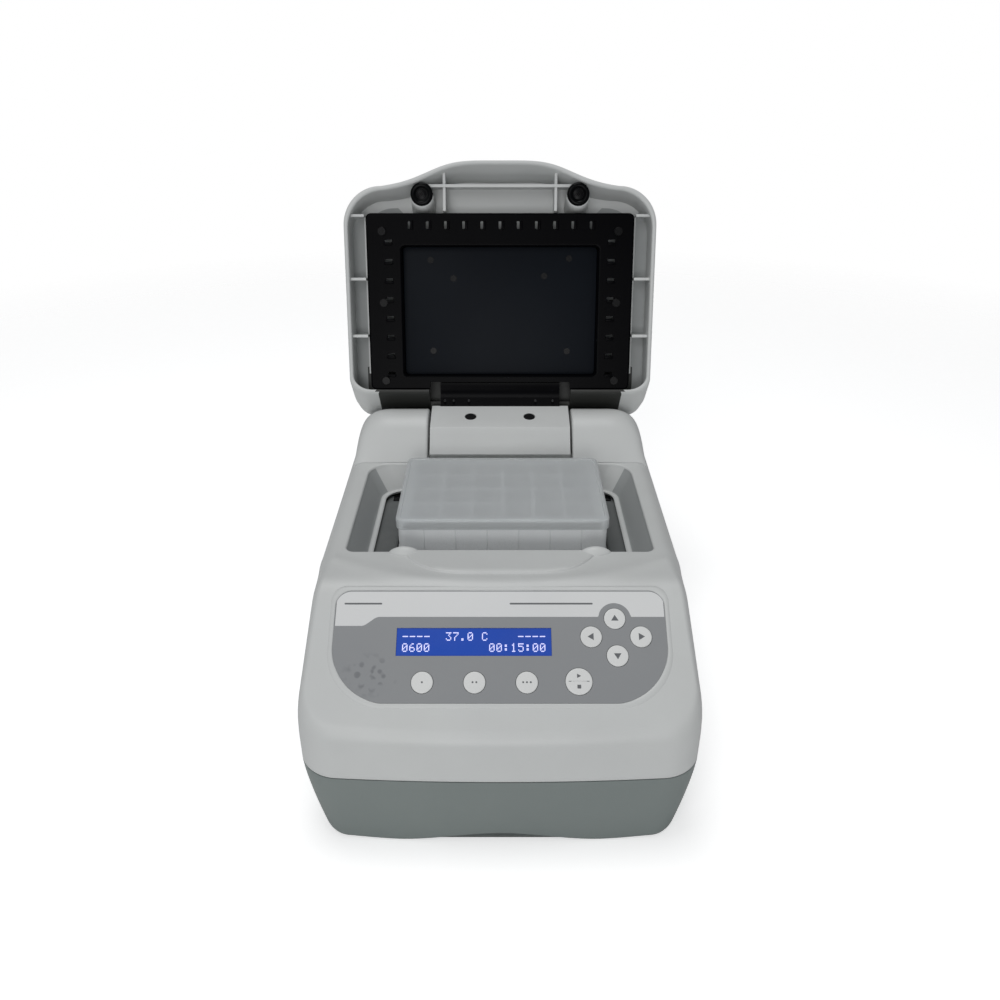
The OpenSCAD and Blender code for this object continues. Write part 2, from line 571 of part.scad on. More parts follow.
module lid_shell() color("gainsboro") swing() difference() {
    lid_block(0);
    // the hollow, less the stiffening ribs along the sides and the front
    difference() {
        lid_block(lid_t);
        union() {
            union() {
                both_sides() for (y = [90, 130.5, 168]) translate([lid_half - 13, y - 1, cover_z]) cube([14, 2, 60]);
                both_sides() translate([lid_half - 13, 98, rim_z + 8]) cube([2, 96, 60]);
                both_sides() translate([35, 50, rim_z + 5]) cube([2, 36, 60]);
                translate([-80, 82, cover_z]) cube([160, 2, 60]);
                for (p = bumper_at) translate([p[0], p[1], 0]) peg(15, rim_z + 2.6, 168);
                for (p = cover_screw_spots()) translate([p[0], p[1], 0]) peg(8, cover_z + 2.4, 168);
            }
        }
    }
    for (p = bumper_at) translate([p[0], p[1], 0]) peg(3, rim_z - 2, 140);
    for (p = cover_screw_spots()) translate([p[0], p[1], 0]) peg(2.8, rim_z, 142);
    // the strap to the knuckle passes through the rear skirt
    translate([-knuckle_w / 2 - 1, 196, cover_z - 1]) cube([knuckle_w + 2, 40, 9.5]);
}

recess_l = well_l + 11.4;       // length of the hollow over the microplate
recess_w = well_w + 6.9;
module lid_inner_cover() color("black") swing() difference() {
    union() {
        translate([0, (cover_front + cover_back) / 2, 0]) slab(cover_w, cover_back - cover_front, 3, cover_z, cover_z + 2.4);
        translate([0, bay_mid_y, 0]) slab(recess_l + 4.4, recess_w + 4.4, 3, cover_z, plate_top_z + 6.6);
    }
    translate([0, bay_mid_y, 0]) slab(recess_l, recess_w, 2.5, cover_z - 1, plate_top_z + 4.6);
    translate([0, bay_mid_y, 0]) slab(recess_l - 5, recess_w - 5, 2.5, cover_z - 1, plate_top_z + 9);
    // vent slots
    for (i = [-5:5]) translate([i * 12 - 2, 95, cover_z - 1]) cube([4, 2, 5]);
    both_sides() for (j = [0:7]) translate([cover_w / 2 - 15.5, 104 + j * 12.4, cover_z - 1]) cube([2, 4, 5]);
    for (p = cover_screw_spots()) translate([p[0], p[1], 0]) peg(3.4, cover_z - 1, cover_z + 4);
    // the strap comes out under the rear edge
    translate([-knuckle_w / 2 - 1, cover_back - 5, cover_z - 1]) cube([knuckle_w + 2, 10, 6]);
}
module lid_heater_plate() color("dimgray") swing() translate([0, bay_mid_y, 0]) slab(recess_l - 0.4, recess_w - 0.4, 2.4, plate_top_z + 4.6 - 1.6, plate_top_z + 4.6);
module lid_insulation() color("khaki") swing() translate([0, bay_mid_y, 0]) slab(recess_l + 3, recess_w + 2.5, 3, plate_top_z + 6.6, plate_top_z + 18);
module lid_bumpers() color("black") swing() for (p = bumper_at) translate([p[0], p[1], 0]) difference() { peg(14.6, rim_z - 0.6, rim_z + 2.6); peg(8, rim_z - 2, rim_z + 0.8); peg(3.2, rim_z - 2, rim_z + 4); }
module bumper_screws() color("silver") swing() for (p = bumper_at) translate([p[0], p[1], 0]) union() { peg(7, rim_z - 0.4, rim_z + 0.8); peg(2.9, rim_z + 0.7, rim_z + 14); }
module cover_screws() color("silver") swing() for (p = cover_screw_spots()) translate([p[0], p[1], 0]) union() { peg(5.6, cover_z - 1.4, cover_z); peg(2.7, cover_z - 0.2, cover_z + 12); }

// ---------- hinge ----------
// Turned to the closed pose, the knuckle's flat faces forward; in the rest pose it looks up.
module knuckle_profile(g) {
    n = 90 + hump_slope;
    low = sqrt(knuckle_reach * knuckle_reach - knuckle_r * knuckle_r);
    translate([hinge_y, hinge_z]) rotate(lid_open) difference() {
        union() {
            circle(r = knuckle_r - g, $fn = 96);
            if (g == 0) polygon([
                [(knuckle_r - 0.4) * cos(n - 4), (knuckle_r - 0.4) * sin(n - 4)],
                [knuckle_r * cos(n) - low * sin(n), knuckle_r * sin(n) + low * cos(n)],
                [(knuckle_r - 1) * cos(208), (knuckle_r - 1) * sin(208)], [-17, -6], [-12, 8]]);
        }
        rotate(12.5) translate([-40, 18.9 - g]) square([80, 20]);
    }
}
module knuckle_cover() color("gainsboro") swing() difference() {
    side_prism(-knuckle_w / 2, knuckle_w / 2) knuckle_profile(0);
    side_prism(-knuckle_w / 2 + 3, knuckle_w / 2 - 3) difference() {
        knuckle_profile(2.8);
        translate([hinge_y, hinge_z]) circle(r = 6, $fn = 48);
    }
    translate([-shaft_l / 2, hinge_y, hinge_z]) rotate([0, 90, 0]) cylinder(d = hinge_d + 2 * run_gap, h = shaft_l);
    // open side towards the lid, where the strap comes out
    strap_slot(0.4);
    knuckle_frame() for (x = [-20, 20]) translate([x, 0, 0]) { peg(3.6, 9, 30); peg(8, 17.2, 30); }
}
// Frame of the flat: +Z out of the flat.
module knuckle_frame() translate([0, hinge_y, hinge_z]) rotate([lid_open + 12.5, 0, 0]) children();
module strap_slot(g) translate([-knuckle_w / 2 + 3 + 3 - g, 208, strap_z - g]) cube([knuckle_w - 12 + 2 * g, 12, strap_t + 2 * g]);
strap_z = cover_z + 1.2; strap_t = 3;
module hinge_strap() color("black") swing() difference() {
    union() {
        translate([-knuckle_w / 2 + 6, 199.6, strap_z]) cube([knuckle_w - 12, 20.6, strap_t]);
        translate([-knuckle_w / 2 + 6, 199.6, strap_z]) cube([knuckle_w - 12, 3, 22]);
        knuckle_frame() translate([-knuckle_w / 2 + 6, -10, 12.8]) cube([knuckle_w - 12, 21.4, strap_t]);
    }
    knuckle_frame() for (x = [-20, 20]) translate([x, 0, 0]) peg(3.7, 8, 30);
}
module knuckle_screws() color("dimgray") swing() knuckle_frame() for (x = [-20, 20]) translate([x, 0, 0]) union() { peg(7.4, 17.2, 18.6); peg(3.4, 9, 17.3); }
module hinge_shaft() color("silver") frame() translate([-shaft_l / 2, hinge_y, hinge_z]) rotate([0, 90, 0]) cylinder(d = hinge_d, h = shaft_l);
module hinge_brackets() color("silver") frame() both_sides() difference() {
    union() {
        translate([knuckle_w / 2 + 6, hinge_y - 9, 96]) cube([4, 18, 28]);
        translate([knuckle_w / 2 + 6, hinge_y, hinge_z]) rotate([0, 90, 0]) cylinder(r = 9, h = 4);
    }
    translate([knuckle_w / 2 + 3, hinge_y, hinge_z]) rotate([0, 90, 0]) cylinder(d = hinge_d + 2 * run_gap, h = 12);
}
module lid_stops() color("black") frame() both_sides() translate([half_w - 33, hinge_y + 28, rear_deck_z]) peg(10, 0, 9.1);

base_tub();
upper_case();
rubber_feet();
case_screws();
control_overlay();
lcd_window();
lcd_module();
key_board();
main_board();
power_supply();
power_inlet();
switch_housing();
fan_frame();
chassis_plate();
chassis_posts();
drive_motor();
crank_bearings();
idler_bearings();
hinge_shaft();
hinge_brackets();
lid_stops();
crank_shaft();
crank_counterweight();
idler_crank_1();
idler_crank_2();
idler_crank_3();
idler_crank_4();
shake_table();
table_bearings();
block_insulator();
heater_film();
heat_block();
temperature_probe();
block_screws();
deep_well_plate();
plate_lid();
lid_shell();
lid_inner_cover();
lid_heater_plate();
lid_insulation();
lid_bumpers();
bumper_screws();
cover_screws();
hinge_strap();
knuckle_cover();
knuckle_screws();
key_up();
key_down();
key_left();
key_right();
key_function_1();
key_function_2();
key_function_3();
key_start_stop();
switch_rocker();
fan_rotor();
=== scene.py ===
"""Bench thermal mixer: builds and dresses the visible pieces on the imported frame.

Sizes are case millimetres: X to the right, Y from the front face to the back and Z up from the bench.
"""

import logging
import math
from contextlib import contextmanager
from dataclasses import dataclass
from enum import Enum
from functools import cache
from typing import Callable, Iterator, Optional, Sequence, Union

import bmesh
import bpy
import numpy as np
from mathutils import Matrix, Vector


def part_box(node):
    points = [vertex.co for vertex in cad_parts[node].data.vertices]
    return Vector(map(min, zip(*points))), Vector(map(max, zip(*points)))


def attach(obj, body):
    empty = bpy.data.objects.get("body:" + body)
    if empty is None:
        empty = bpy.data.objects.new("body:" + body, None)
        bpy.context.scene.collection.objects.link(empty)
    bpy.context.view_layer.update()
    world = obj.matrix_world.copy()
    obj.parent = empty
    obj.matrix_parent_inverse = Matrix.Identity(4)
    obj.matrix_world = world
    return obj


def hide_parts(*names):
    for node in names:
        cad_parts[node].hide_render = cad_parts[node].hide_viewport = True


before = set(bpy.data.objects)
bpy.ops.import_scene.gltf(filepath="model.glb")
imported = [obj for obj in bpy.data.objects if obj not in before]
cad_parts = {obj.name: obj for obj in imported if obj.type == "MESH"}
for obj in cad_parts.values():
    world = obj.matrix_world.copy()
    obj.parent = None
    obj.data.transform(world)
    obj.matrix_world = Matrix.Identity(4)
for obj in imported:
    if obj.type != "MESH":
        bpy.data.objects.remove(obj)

LOG = logging.getLogger("thermal_mixer")
MM = 0.001
SIDES = (-1, 1)
Points = np.ndarray
Colour = tuple[float, float, float]


# ---------------------------------------------------------------- places
@dataclass(frozen=True)
class Datums:
    """Driving sizes that several sub-assemblies share, in case millimetres."""

    width: float = 206.0
    depth: float = 300.0
    seam_z: float = 45.0
    deck_z: float = 120.0
    rear_deck_z: float = 118.0
    bow: float = 4.0
    corner_r: float = 22.0
    wall: float = 2.8
    panel_slope: float = math.radians(35.5)
    panel_y: float = 40.5
    panel_z: float = 101.3
    bay_y: float = 152.0
    bay_w: float = 172.0
    bay_d: float = 109.0
    bay_r: float = 14.0
    bay_floor_z: float = 103.0
    hinge_y: float = 238.0
    hinge_z: float = 124.0
    lid_open: float = math.radians(105.0)
    orbit: float = 1.5
    front_row_y: float = float(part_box("upper_case")[0][1]) * 1000.0

    @property
    def half_w(self) -> float:
        """Half the width of the case."""
        return self.width / 2

    @property
    def bow_r(self) -> float:
        """Radius of the circle that the front face follows."""
        return (self.half_w**2 + self.bow**2) / (2 * self.bow)


D = Datums()


def in_case(p: Points) -> Points:
    """Case millimetres to the row frame in metres: y is counted from the front face's own place."""
    return (np.array(p, dtype=float) + [0, D.front_row_y, 0]) * MM


def leaned(p: Points, angle: float, y: float, z: float) -> Points:
    """Points turned about the x axis by an angle, shifted along y and z, and put in the row frame."""
    c, s = math.cos(angle), math.sin(angle)
    px, py, pz = np.moveaxis(p, -1, 0)
    return in_case(np.stack([px, y + py * c - pz * s, z + py * s + pz * c], -1))


def in_panel(p: Points) -> Points:
    """Panel coordinates (x, up the slope, out of it) to the row frame: a turn by the slope and a shift."""
    return leaned(p, D.panel_slope, D.panel_y, D.panel_z)


def in_lid(p: Points) -> Points:
    """Places of the closed lid to the row frame with the lid open: a turn about the hinge."""
    return leaned(p - [0, D.hinge_y, D.hinge_z], -D.lid_open, D.hinge_y, D.hinge_z)


def in_table(p: Points) -> Points:
    """Coordinates about the shaking table to the row frame: a shift by the bay's middle and the throw."""
    return in_case(p + [D.orbit, D.bay_y, 0])


# ---------------------------------------------------------------- curves and profiles
def circle(n: int) -> Points:
    """n even angles of a whole turn, in radians."""
    return np.linspace(0, 2 * math.pi, n, endpoint=False)


def arc(cx: float, cy: float, r: float, a0: float, a1: float, n: int) -> Points:
    """Points of a circle's arc: centre plus radius times cosine and sine of even angles in degrees."""
    a = np.radians(np.linspace(a0, a1, n))
    return np.stack([cx + r * np.cos(a), cy + r * np.sin(a)], -1)


def round_rect(w: float, d: float, r: float, n: int = 6, side: int = 0) -> Points:
    """Closed outline of a rectangle about the origin: four quarter arcs joined by straight runs.

    Args:
        w: Width along x.
        d: Depth along y.
        r: Corner radius.
        n: Points on each corner.
        side: Extra points on each straight run.

    Returns:
        Points of the outline, running anticlockwise.
    """
    r = max(r, 0.01)
    hx, hy = w / 2 - r, d / 2 - r
    corners = ((1, 1, 0), (-1, 1, 90), (-1, -1, 180), (1, -1, 270))
    arcs = [arc(sx * hx, sy * hy, r, a, a + 90, n) for sx, sy, a in corners]
    t = np.linspace(0, 1, side + 2)[1:-1, None]
    runs = [(a, a[-1] * (1 - t) + b[0] * t) for a, b in zip(arcs, arcs[1:] + arcs[:1])]
    return np.concatenate([part for run in runs for part in run])


def both_halves(half: Points) -> Points:
    """A right half outline, or rings of them, joined to its mirror in x; the end points are not repeated."""
    return np.concatenate([half, half[..., -2:0:-1, :] * [-1, 1, 1][: half.shape[-1]]], axis=-2)


def at_height(outline: Points, z: Union[float, Points]) -> Points:
    """An outline of (x, y) lifted to a height z, or to one height a point."""
    return np.insert(outline, 2, z, axis=1)


def prism(outline: Points, axis: int, *places: float) -> Points:
    """Rings of one outline at several places along an axis: the place goes in as that coordinate."""
    return np.stack([np.insert(outline, axis, place, axis=-1) for place in places])


def box_points(low: Sequence[float], high: Sequence[float]) -> Points:
    """Two rings of four corners of an upright box."""
    (x0, y0, z0), (x1, y1, z1) = low, high
    return prism(np.array([[x0, y0], [x1, y0], [x1, y1], [x0, y1]], float), 2, z0, z1)


def boxes(size: Sequence[float], rows: Sequence[Sequence[float]], n: int = 8, side: int = 10) -> Points:
    """Rings of a round-cornered box.

    Args:
        size: Width and depth.
        rows: How much smaller each ring is, its corner radius and its height.
        n: Points on each corner.
        side: Extra points on each straight run.

    Returns:
        A stack of rings.
    """
    return np.stack([at_height(round_rect(size[0] - k, size[1] - k, r, n, side), z) for k, r, z in rows])


def unit(v: Points) -> Points:
    """Vectors divided by their own lengths."""
    return v / np.maximum(np.linalg.norm(v, axis=1), 1e-9)[:, None]


def drawn_in(outline: Points, by: float) -> Points:
    """An outline whose points move straight towards its middle by a distance."""
    return outline - unit(outline - outline.mean(0)) * by


def smooth(t: Points) -> Points:
    """The step 3t squared minus 2t cubed, held at 0 and 1 outside the unit range."""
    t = np.clip(t, 0, 1)
    return t * t * (3 - 2 * t)


def along(path: Points, n: int) -> Points:
    """n points at even steps of arc length along a polyline."""
    step = np.r_[0, np.cumsum(np.linalg.norm(np.diff(path, axis=0), axis=1))]
    s = np.linspace(0, step[-1], n)
    return np.stack([np.interp(s, step, path[:, k]) for k in range(path.shape[1])], -1)


def lathe(profile: Sequence[tuple[float, float]], steps: int = 48) -> Points:
    """A surface of revolution: each (radius, height) is turned about the z axis in even steps."""
    r, z = np.asarray(profile, float).T[..., None]
    a = circle(steps)
    return np.stack([r * np.cos(a), r * np.sin(a), np.broadcast_to(z, (len(z), steps))], -1)


def soft_slab(w: float, d: float, r: float, z0: float, z1: float, b: float, n: int = 8) -> Points:
    """A round-cornered slab: its outline goes up in rings, drawn in along a quarter circle at both rims.

    Args:
        w: Width.
        d: Depth.
        r: Corner radius in plan.
        z0: Underside.
        z1: Top.
        b: Radius of the rims.
        n: Points on each corner.

    Returns:
        A grid of rings.
    """
    bend = [(b * (1 - math.sin(a)), b * (1 - math.cos(a))) for a in np.radians(np.linspace(0, 90, 4))]
    rims = [(k, z0 + up) for k, up in bend] + [(k, z1 - up) for k, up in bend[::-1]]
    return np.stack([at_height(round_rect(w - 2 * k, d - 2 * k, r - k, n, 2), z) for k, z in rims])


def middles(rings: Points) -> Points:
    """Middle of every quad between closed rings: the mean of its four corners."""
    mid = (rings[:-1] + rings[1:]) / 2
    return (mid + np.roll(mid, -1, 1)) / 2


# ---------------------------------------------------------------- meshes
@contextmanager
def editing(mesh: bpy.types.Mesh) -> Iterator[bmesh.types.BMesh]:
    """Opens a mesh for editing and writes it back at the end.

    Args:
        mesh: The mesh to edit.

    Returns:
        The mesh as an editable one, for the length of a with block.
    """
    bm = bmesh.new()
    bm.from_mesh(mesh)
    yield bm
    bm.to_mesh(mesh)
    bm.free()


def linked(name: str, data: Optional[bpy.types.ID]) -> bpy.types.Object:
    """A new object with its data, linked to the scene."""
    obj = bpy.data.objects.new(name, data)
    bpy.context.scene.collection.objects.link(obj)
    return obj


def apply_modifiers(obj: bpy.types.Object) -> None:
    """Keeps what the modifiers make of a mesh in place of the mesh.

    Args:
        obj: The object whose modifiers are applied and removed.
    """
    bpy.context.view_layer.update()
    done = bpy.data.meshes.new_from_object(obj.evaluated_get(bpy.context.evaluated_depsgraph_get()))
    obj.modifiers.clear()
    old, obj.data = obj.data, done
    done.name = old.name
    bpy.data.meshes.remove(old)


@dataclass(frozen=True)
class Place:
    """Where a piece belongs: its body, the record's material slot and the CAD nodes that it stands for."""

    body: str
    slot: Optional[str] = None
    replaces: tuple[str, ...] = ()


class Skin:
    """Gathers grids of points into one mesh and turns it into a finished piece."""

    def __init__(self, name: str, into: Callable[[Points], Points]) -> None:
        """Starts an empty mesh.

        Args:
            name: Name of the piece.
            into: Takes its points to the row frame, in metres.
        """
        self.name, self.into = name, into
        self.points: list[Points] = []
        self.faces: list[list[int]] = []
        self.slots: list[int] = []
        self.count = 0

    def add(self, pts: Points, faces: list[list[int]], slot: int = 0) -> "Skin":
        """Adds points and faces.

        Args:
            pts: Points in millimetres.
            faces: Point numbers of each face, counted from the skin's first point.
            slot: Index of the finish.

        Returns:
            The skin itself.
        """
        self.points.append(self.into(pts).reshape(-1, 3))
        self.faces += faces
        self.slots += [slot] * len(faces)
        self.count += len(self.points[-1])
        return self

    def grid(self, pts: Points, wrap_u: bool = False, wrap_v: bool = True, capped: bool = False,
             slot: int = 0) -> "Skin":
        """Adds a grid of quads between neighbouring points.

        Args:
            pts: Points as (rows, columns, 3), in millimetres.
            wrap_u: Joins the last row to the first.
            wrap_v: Joins the last column to the first.
            capped: Closes the first and the last row with one face each.
            slot: Index of the finish.

        Returns:
            The skin itself.
        """
        nu, nv = pts.shape[:2]
        idx = np.arange(nu * nv).reshape(nu, nv) + self.count
        nxt_u, nxt_v = np.roll(idx, -1, 0), np.roll(idx, -1, 1)
        quads = np.stack([idx, nxt_v, np.roll(nxt_u, -1, 1), nxt_u], -1)
        quads = quads[: nu if wrap_u else nu - 1, : nv if wrap_v else nv - 1].reshape(-1, 4).tolist()
        caps = [idx[0][::-1].tolist(), idx[-1].tolist()] if capped else []
        return self.add(pts, quads + caps, slot)

    def solid(self, pts: Points, slot: int = 0) -> "Skin":
        """Adds a closed loft: rings joined round and capped at both ends."""
        return self.grid(pts, capped=True, slot=slot)

    def choose(self, index: Points) -> "Skin":
        """Sets the finish index of the first quads, one value a quad."""
        self.slots[: index.size] = index.ravel().astype(int).tolist()
        return self

    def mesh(self) -> bpy.types.Mesh:
        """The gathered faces as a mesh with their finish indices."""
        mesh = bpy.data.meshes.new(self.name)
        mesh.from_pydata(np.concatenate(self.points).tolist(), [], self.faces)
        mesh.polygons.foreach_set("material_index", self.slots)
        return mesh

    def build(self, place: Place, *finishes: "Finish", sharp: float = 40.0, turn_out: bool = True,
              uv: Optional[Callable[[Points], Points]] = None) -> bpy.types.Object:
        """Makes the object, its finish and its place on a body.

        Args:
            place: Body, slot and replaced nodes.
            finishes: Finishes, in order of slot index.
            sharp: Edges that turn by more than this many degrees stay sharp.
            turn_out: Whether to make the normals of closed shapes point outwards.
            uv: Maps points in metres to (u, v).

        Returns:
            The finished object.
        """
        mesh = self.mesh()
        with editing(mesh) as bm:
            bmesh.ops.remove_doubles(bm, verts=bm.verts, dist=1e-7)
            bmesh.ops.dissolve_degenerate(bm, edges=bm.edges, dist=1e-8)
            if turn_out:
                bmesh.ops.recalc_face_normals(bm, faces=bm.faces)
        return settle(self.name, mesh, place, finishes, sharp, uv)


def settle(name: str, mesh: bpy.types.Mesh, place: Place, finishes: Sequence["Finish"], sharp: float,
           uv: Optional[Callable[[Points], Points]] = None) -> bpy.types.Object:
    """Links a mesh as a piece, shades it, gives it its finishes and sets it on its body.

    Args:
        name: Name of the piece.
        mesh: The finished mesh, in the row frame.
        place: Body, slot and replaced nodes.
        finishes: Finishes in order of material index.
        sharp: Angle in degrees above which an edge stays sharp.
        uv: Maps points in metres to (u, v).

    Returns:
        The object.
    """
    mesh.polygons.foreach_set("use_smooth", np.ones(len(mesh.polygons), dtype=bool))
    mesh.set_sharp_from_angle(angle=math.radians(sharp))
    if uv is not None:
        co = np.array([v.co[:] for v in mesh.vertices])
        at = [loop.vertex_index for loop in mesh.loops]
        mesh.uv_layers.new(name="surface").data.foreach_set("uv", uv(co[at]).ravel())
    mesh.update()
    obj = linked(name, mesh)
    for finish in finishes:
        mesh.materials.append(finish.material())
    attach(obj, place.body)
    if place.replaces:
        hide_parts(*place.replaces)
    LOG.info("%s: %d faces on %s", name, len(mesh.polygons), place.body)
    return obj


def soften(node: str, body: str, finish: "Finish", slot: str, width: float, segments: int) -> None:
    """Copies a CAD node's mesh, merges its loose triangles and rounds its sharp edges with a live bevel.

    Args:
        node: The CAD node to stand for.
        body: Body that it rides on.
        finish: Finish of the piece.
        slot: The record's material slot.
        width: Width of the rounding in millimetres.
        segments: Steps of the rounding.
    """
    sharp = 32.0
    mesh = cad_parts[node].data.copy()
    mesh.materials.clear()
    with editing(mesh) as bm:
        bmesh.ops.remove_doubles(bm, verts=bm.verts, dist=2e-6)
        bmesh.ops.dissolve_limit(bm, angle_limit=math.radians(0.8), verts=bm.verts, edges=bm.edges)
    obj = settle(node + "_soft", mesh, Place(body, slot, (node,)), [finish], sharp)
    bevel = obj.modifiers.new("rounding", "BEVEL")
    bevel.width, bevel.segments = width * MM, segments
    bevel.limit_method, bevel.angle_limit = "ANGLE", math.radians(sharp)


def cut(obj: bpy.types.Object, cutters: Skin, sharp: float) -> None:
    """Cuts closed shapes out of a closed mesh and keeps the result in the mesh.

    Args:
        obj: The piece to cut.
        cutters: Closed shapes, gathered in one skin.
        sharp: Angle in degrees above which an edge of the result stays sharp.
    """
    mesh = cutters.mesh()
    with editing(mesh) as bm:
        bmesh.ops.recalc_face_normals(bm, faces=bm.faces)
    tool = linked("cutter", mesh)
    mod = obj.modifiers.new("cut", "BOOLEAN")
    mod.operation, mod.object, mod.solver = "DIFFERENCE", tool, "MANIFOLD"
    apply_modifiers(obj)
    bpy.data.objects.remove(tool)
    bpy.data.meshes.remove(mesh)
    obj.data.set_sharp_from_angle(angle=math.radians(sharp))


# ---------------------------------------------------------------- finishes
def linear(r: float, g: float, b: float) -> tuple[float, float, float, float]:
    """A display colour of 0 to 255 a channel as linear light with full alpha."""
    levels = (r / 255, g / 255, b / 255)
    return tuple(c / 12.92 if c <= 0.04045 else ((c + 0.055) / 1.055) ** 2.4 for c in levels) + (1.0,)


Value = Union[bpy.types.NodeSocket, float, tuple]


class Tree:
    """Short words for adding and joining nodes in one node tree."""

    def __init__(self, tree: bpy.types.NodeTree) -> None:
        """Keeps the tree, emptied of its first nodes."""
        self.tree = tree
        tree.nodes.clear()

    def feed(self, node: bpy.types.Node, inputs: dict[Union[str, int], Value]) -> None:
        """Links a socket into each named input, or sets its value."""
        for key, value in inputs.items():
            if isinstance(value, bpy.types.NodeSocket):
                self.tree.links.new(value, node.inputs[key])
            else:
                node.inputs[key].default_value = value

    def node(self, kind: str, inputs: Optional[dict] = None, **properties: object) -> bpy.types.Node:
        """Adds a shader node.

        Args:
            kind: Its type, without the leading words that all shader nodes share.
            inputs: Value or linked socket of its inputs, by name or place.
            properties: Its own settings.

        Returns:
            The node.
        """
        made = self.tree.nodes.new("ShaderNode" + kind)
        for key, value in properties.items():
            setattr(made, key, value)
        self.feed(made, inputs or {})
        return made

    def math(self, what: str, a: Value, b: Value, clamp: bool = False) -> bpy.types.NodeSocket:
        """Adds a math node and returns its output."""
        return self.node("Math", {0: a, 1: b}, operation=what, use_clamp=clamp).outputs[0]

    def scaled(self, value: Value, less: float, times: float) -> bpy.types.NodeSocket:
        """A value less a number, times another, held between 0 and 1."""
        return self.math("MULTIPLY", self.math("SUBTRACT", value, less), times, clamp=True)

    def blend(self, mask: bpy.types.NodeSocket, a: Value, b: Value) -> bpy.types.NodeSocket:
        """Mixes two colours by a mask and returns the colour."""
        return self.node("Mix", {0: mask, 6: a, 7: b}, data_type="RGBA").outputs[2]

    def mixed(self, share: bpy.types.NodeSocket, a: Value, b: Value) -> bpy.types.NodeSocket:
        """Mixes two shaders by a share and returns the shader."""
        return self.node("MixShader", {0: share, 1: a, 2: b}).outputs[0]

    def noise(self, at: bpy.types.NodeSocket, scale: Value, **more: float) -> bpy.types.NodeSocket:
        """A noise of a scale at a place, with its detail and roughness."""
        values = {key.title(): value for key, value in more.items()}
        return self.node("TexNoise", {"Vector": at, "Scale": scale, **values}).outputs["Fac"]

    @property
    def place(self) -> bpy.types.NodeSocket:
        """The object's own coordinates."""
        return self.node("TexCoord").outputs["Object"]

    @property
    def camera_ray(self) -> bpy.types.NodeSocket:
        """Whether the floor or the backdrop is seen straight by the camera."""
        return self.node("LightPath").outputs["Is Camera Ray"]


class Group(Tree):
    """A shader node group with named inputs and outputs, shared by every finish."""

    def __init__(self, name: str, inputs: dict[str, Value], outputs: dict[str, str]) -> None:
        """Starts the group.

        Args:
            name: Name of the group.
            inputs: Default of each input: a colour or a number.
            outputs: Socket type of each output.
        """
        super().__init__(bpy.data.node_groups.new(name, "ShaderNodeTree"))
        socket = self.tree.interface.new_socket
        for label, default in inputs.items():
            kind = "NodeSocketColor" if isinstance(default, tuple) else "NodeSocketFloat"
            socket(label, in_out="INPUT", socket_type=kind).default_value = default
        for label, kind in outputs.items():
            socket(label, in_out="OUTPUT", socket_type="NodeSocket" + kind)
        self.given = self.tree.nodes.new("NodeGroupInput").outputs
        self.result = self.tree.nodes.new("NodeGroupOutput")


@cache
def moulded_grain() -> bpy.types.NodeTree:
    """The shared surface of moulded parts: slow drift of tone, spark-eroded grain and gloss that varies."""
    t = Group(
        "moulded_grain",
        {"Tone": (0.5, 0.5, 0.5, 1), "Drift": (0.4, 0.4, 0.4, 1), "Drift Scale": 14.0,
         "Grain Scale": 1400.0, "Gloss Low": 0.4, "Gloss High": 0.5},
        {"Tone": "Color", "Gloss": "Float", "Height": "Float"},
    )
    at, given = t.place, t.given
    slow = t.noise(at, given["Drift Scale"], detail=3.0, roughness=0.55)
    fine = t.noise(at, given["Grain Scale"], detail=2.0, roughness=0.5)
    pores = t.node("TexVoronoi", {"Vector": at, "Scale": given["Grain Scale"]}).outputs["Distance"]
    drift = t.math("MULTIPLY", t.scaled(slow, 0.35, 2.2), 0.8)
    fleck = t.math("MULTIPLY", t.math("SUBTRACT", fine, 0.45), 0.3)
    span = t.math("SUBTRACT", given["Gloss High"], given["Gloss Low"])
    both = t.math("ADD", t.math("MULTIPLY", slow, 0.6), t.math("MULTIPLY", fine, 0.4))
    t.feed(t.result, {
        "Tone": t.blend(t.math("ADD", drift, fleck, clamp=True), given["Tone"], given["Drift"]),
        "Gloss": t.math("ADD", given["Gloss Low"], t.math("MULTIPLY", span, both)),
        "Height": t.math("ADD", fine, t.math("MULTIPLY", pores, 0.5)),
    })
    return t.tree


def masked(t: Group, mask: bpy.types.NodeSocket) -> bpy.types.NodeTree:
    """Ends a mask group: the mask times the group's amount."""
    t.feed(t.result, {"Mask": t.math("MULTIPLY", mask, t.given["Amount"])})
    return t.tree


@cache
def settled_dust() -> bpy.types.NodeTree:
    """The shared mask of dust and rubbed-in grime: upward faces gather it, in soft patches."""
    t = Group("settled_dust", {"Amount": 0.1, "Patch Scale": 30.0}, {"Mask": "Float"})
    up = t.node("SeparateXYZ", {0: t.node("NewGeometry").outputs["Normal"]}).outputs["Z"]
    patch = t.noise(t.place, t.given["Patch Scale"], detail=5.0, roughness=0.65)
    lift = t.math("ADD", t.math("MULTIPLY", up, 0.5), 0.5, clamp=True)
    return masked(t, t.math("MULTIPLY", lift, t.scaled(patch, 0.42, 3.0)))


@cache
def worn_edge() -> bpy.types.NodeTree:
    """The shared mask of wear: how sharply the surface bends outwards there, broken up by noise."""
    t = Group("worn_edge", {"Amount": 0.3, "Break Scale": 120.0}, {"Mask": "Float"})
    edge = t.scaled(t.node("NewGeometry").outputs["Pointiness"], 0.52, 9.0)
    return masked(t, t.math("MULTIPLY", edge, t.noise(t.place, t.given["Break Scale"], detail=3.0)))


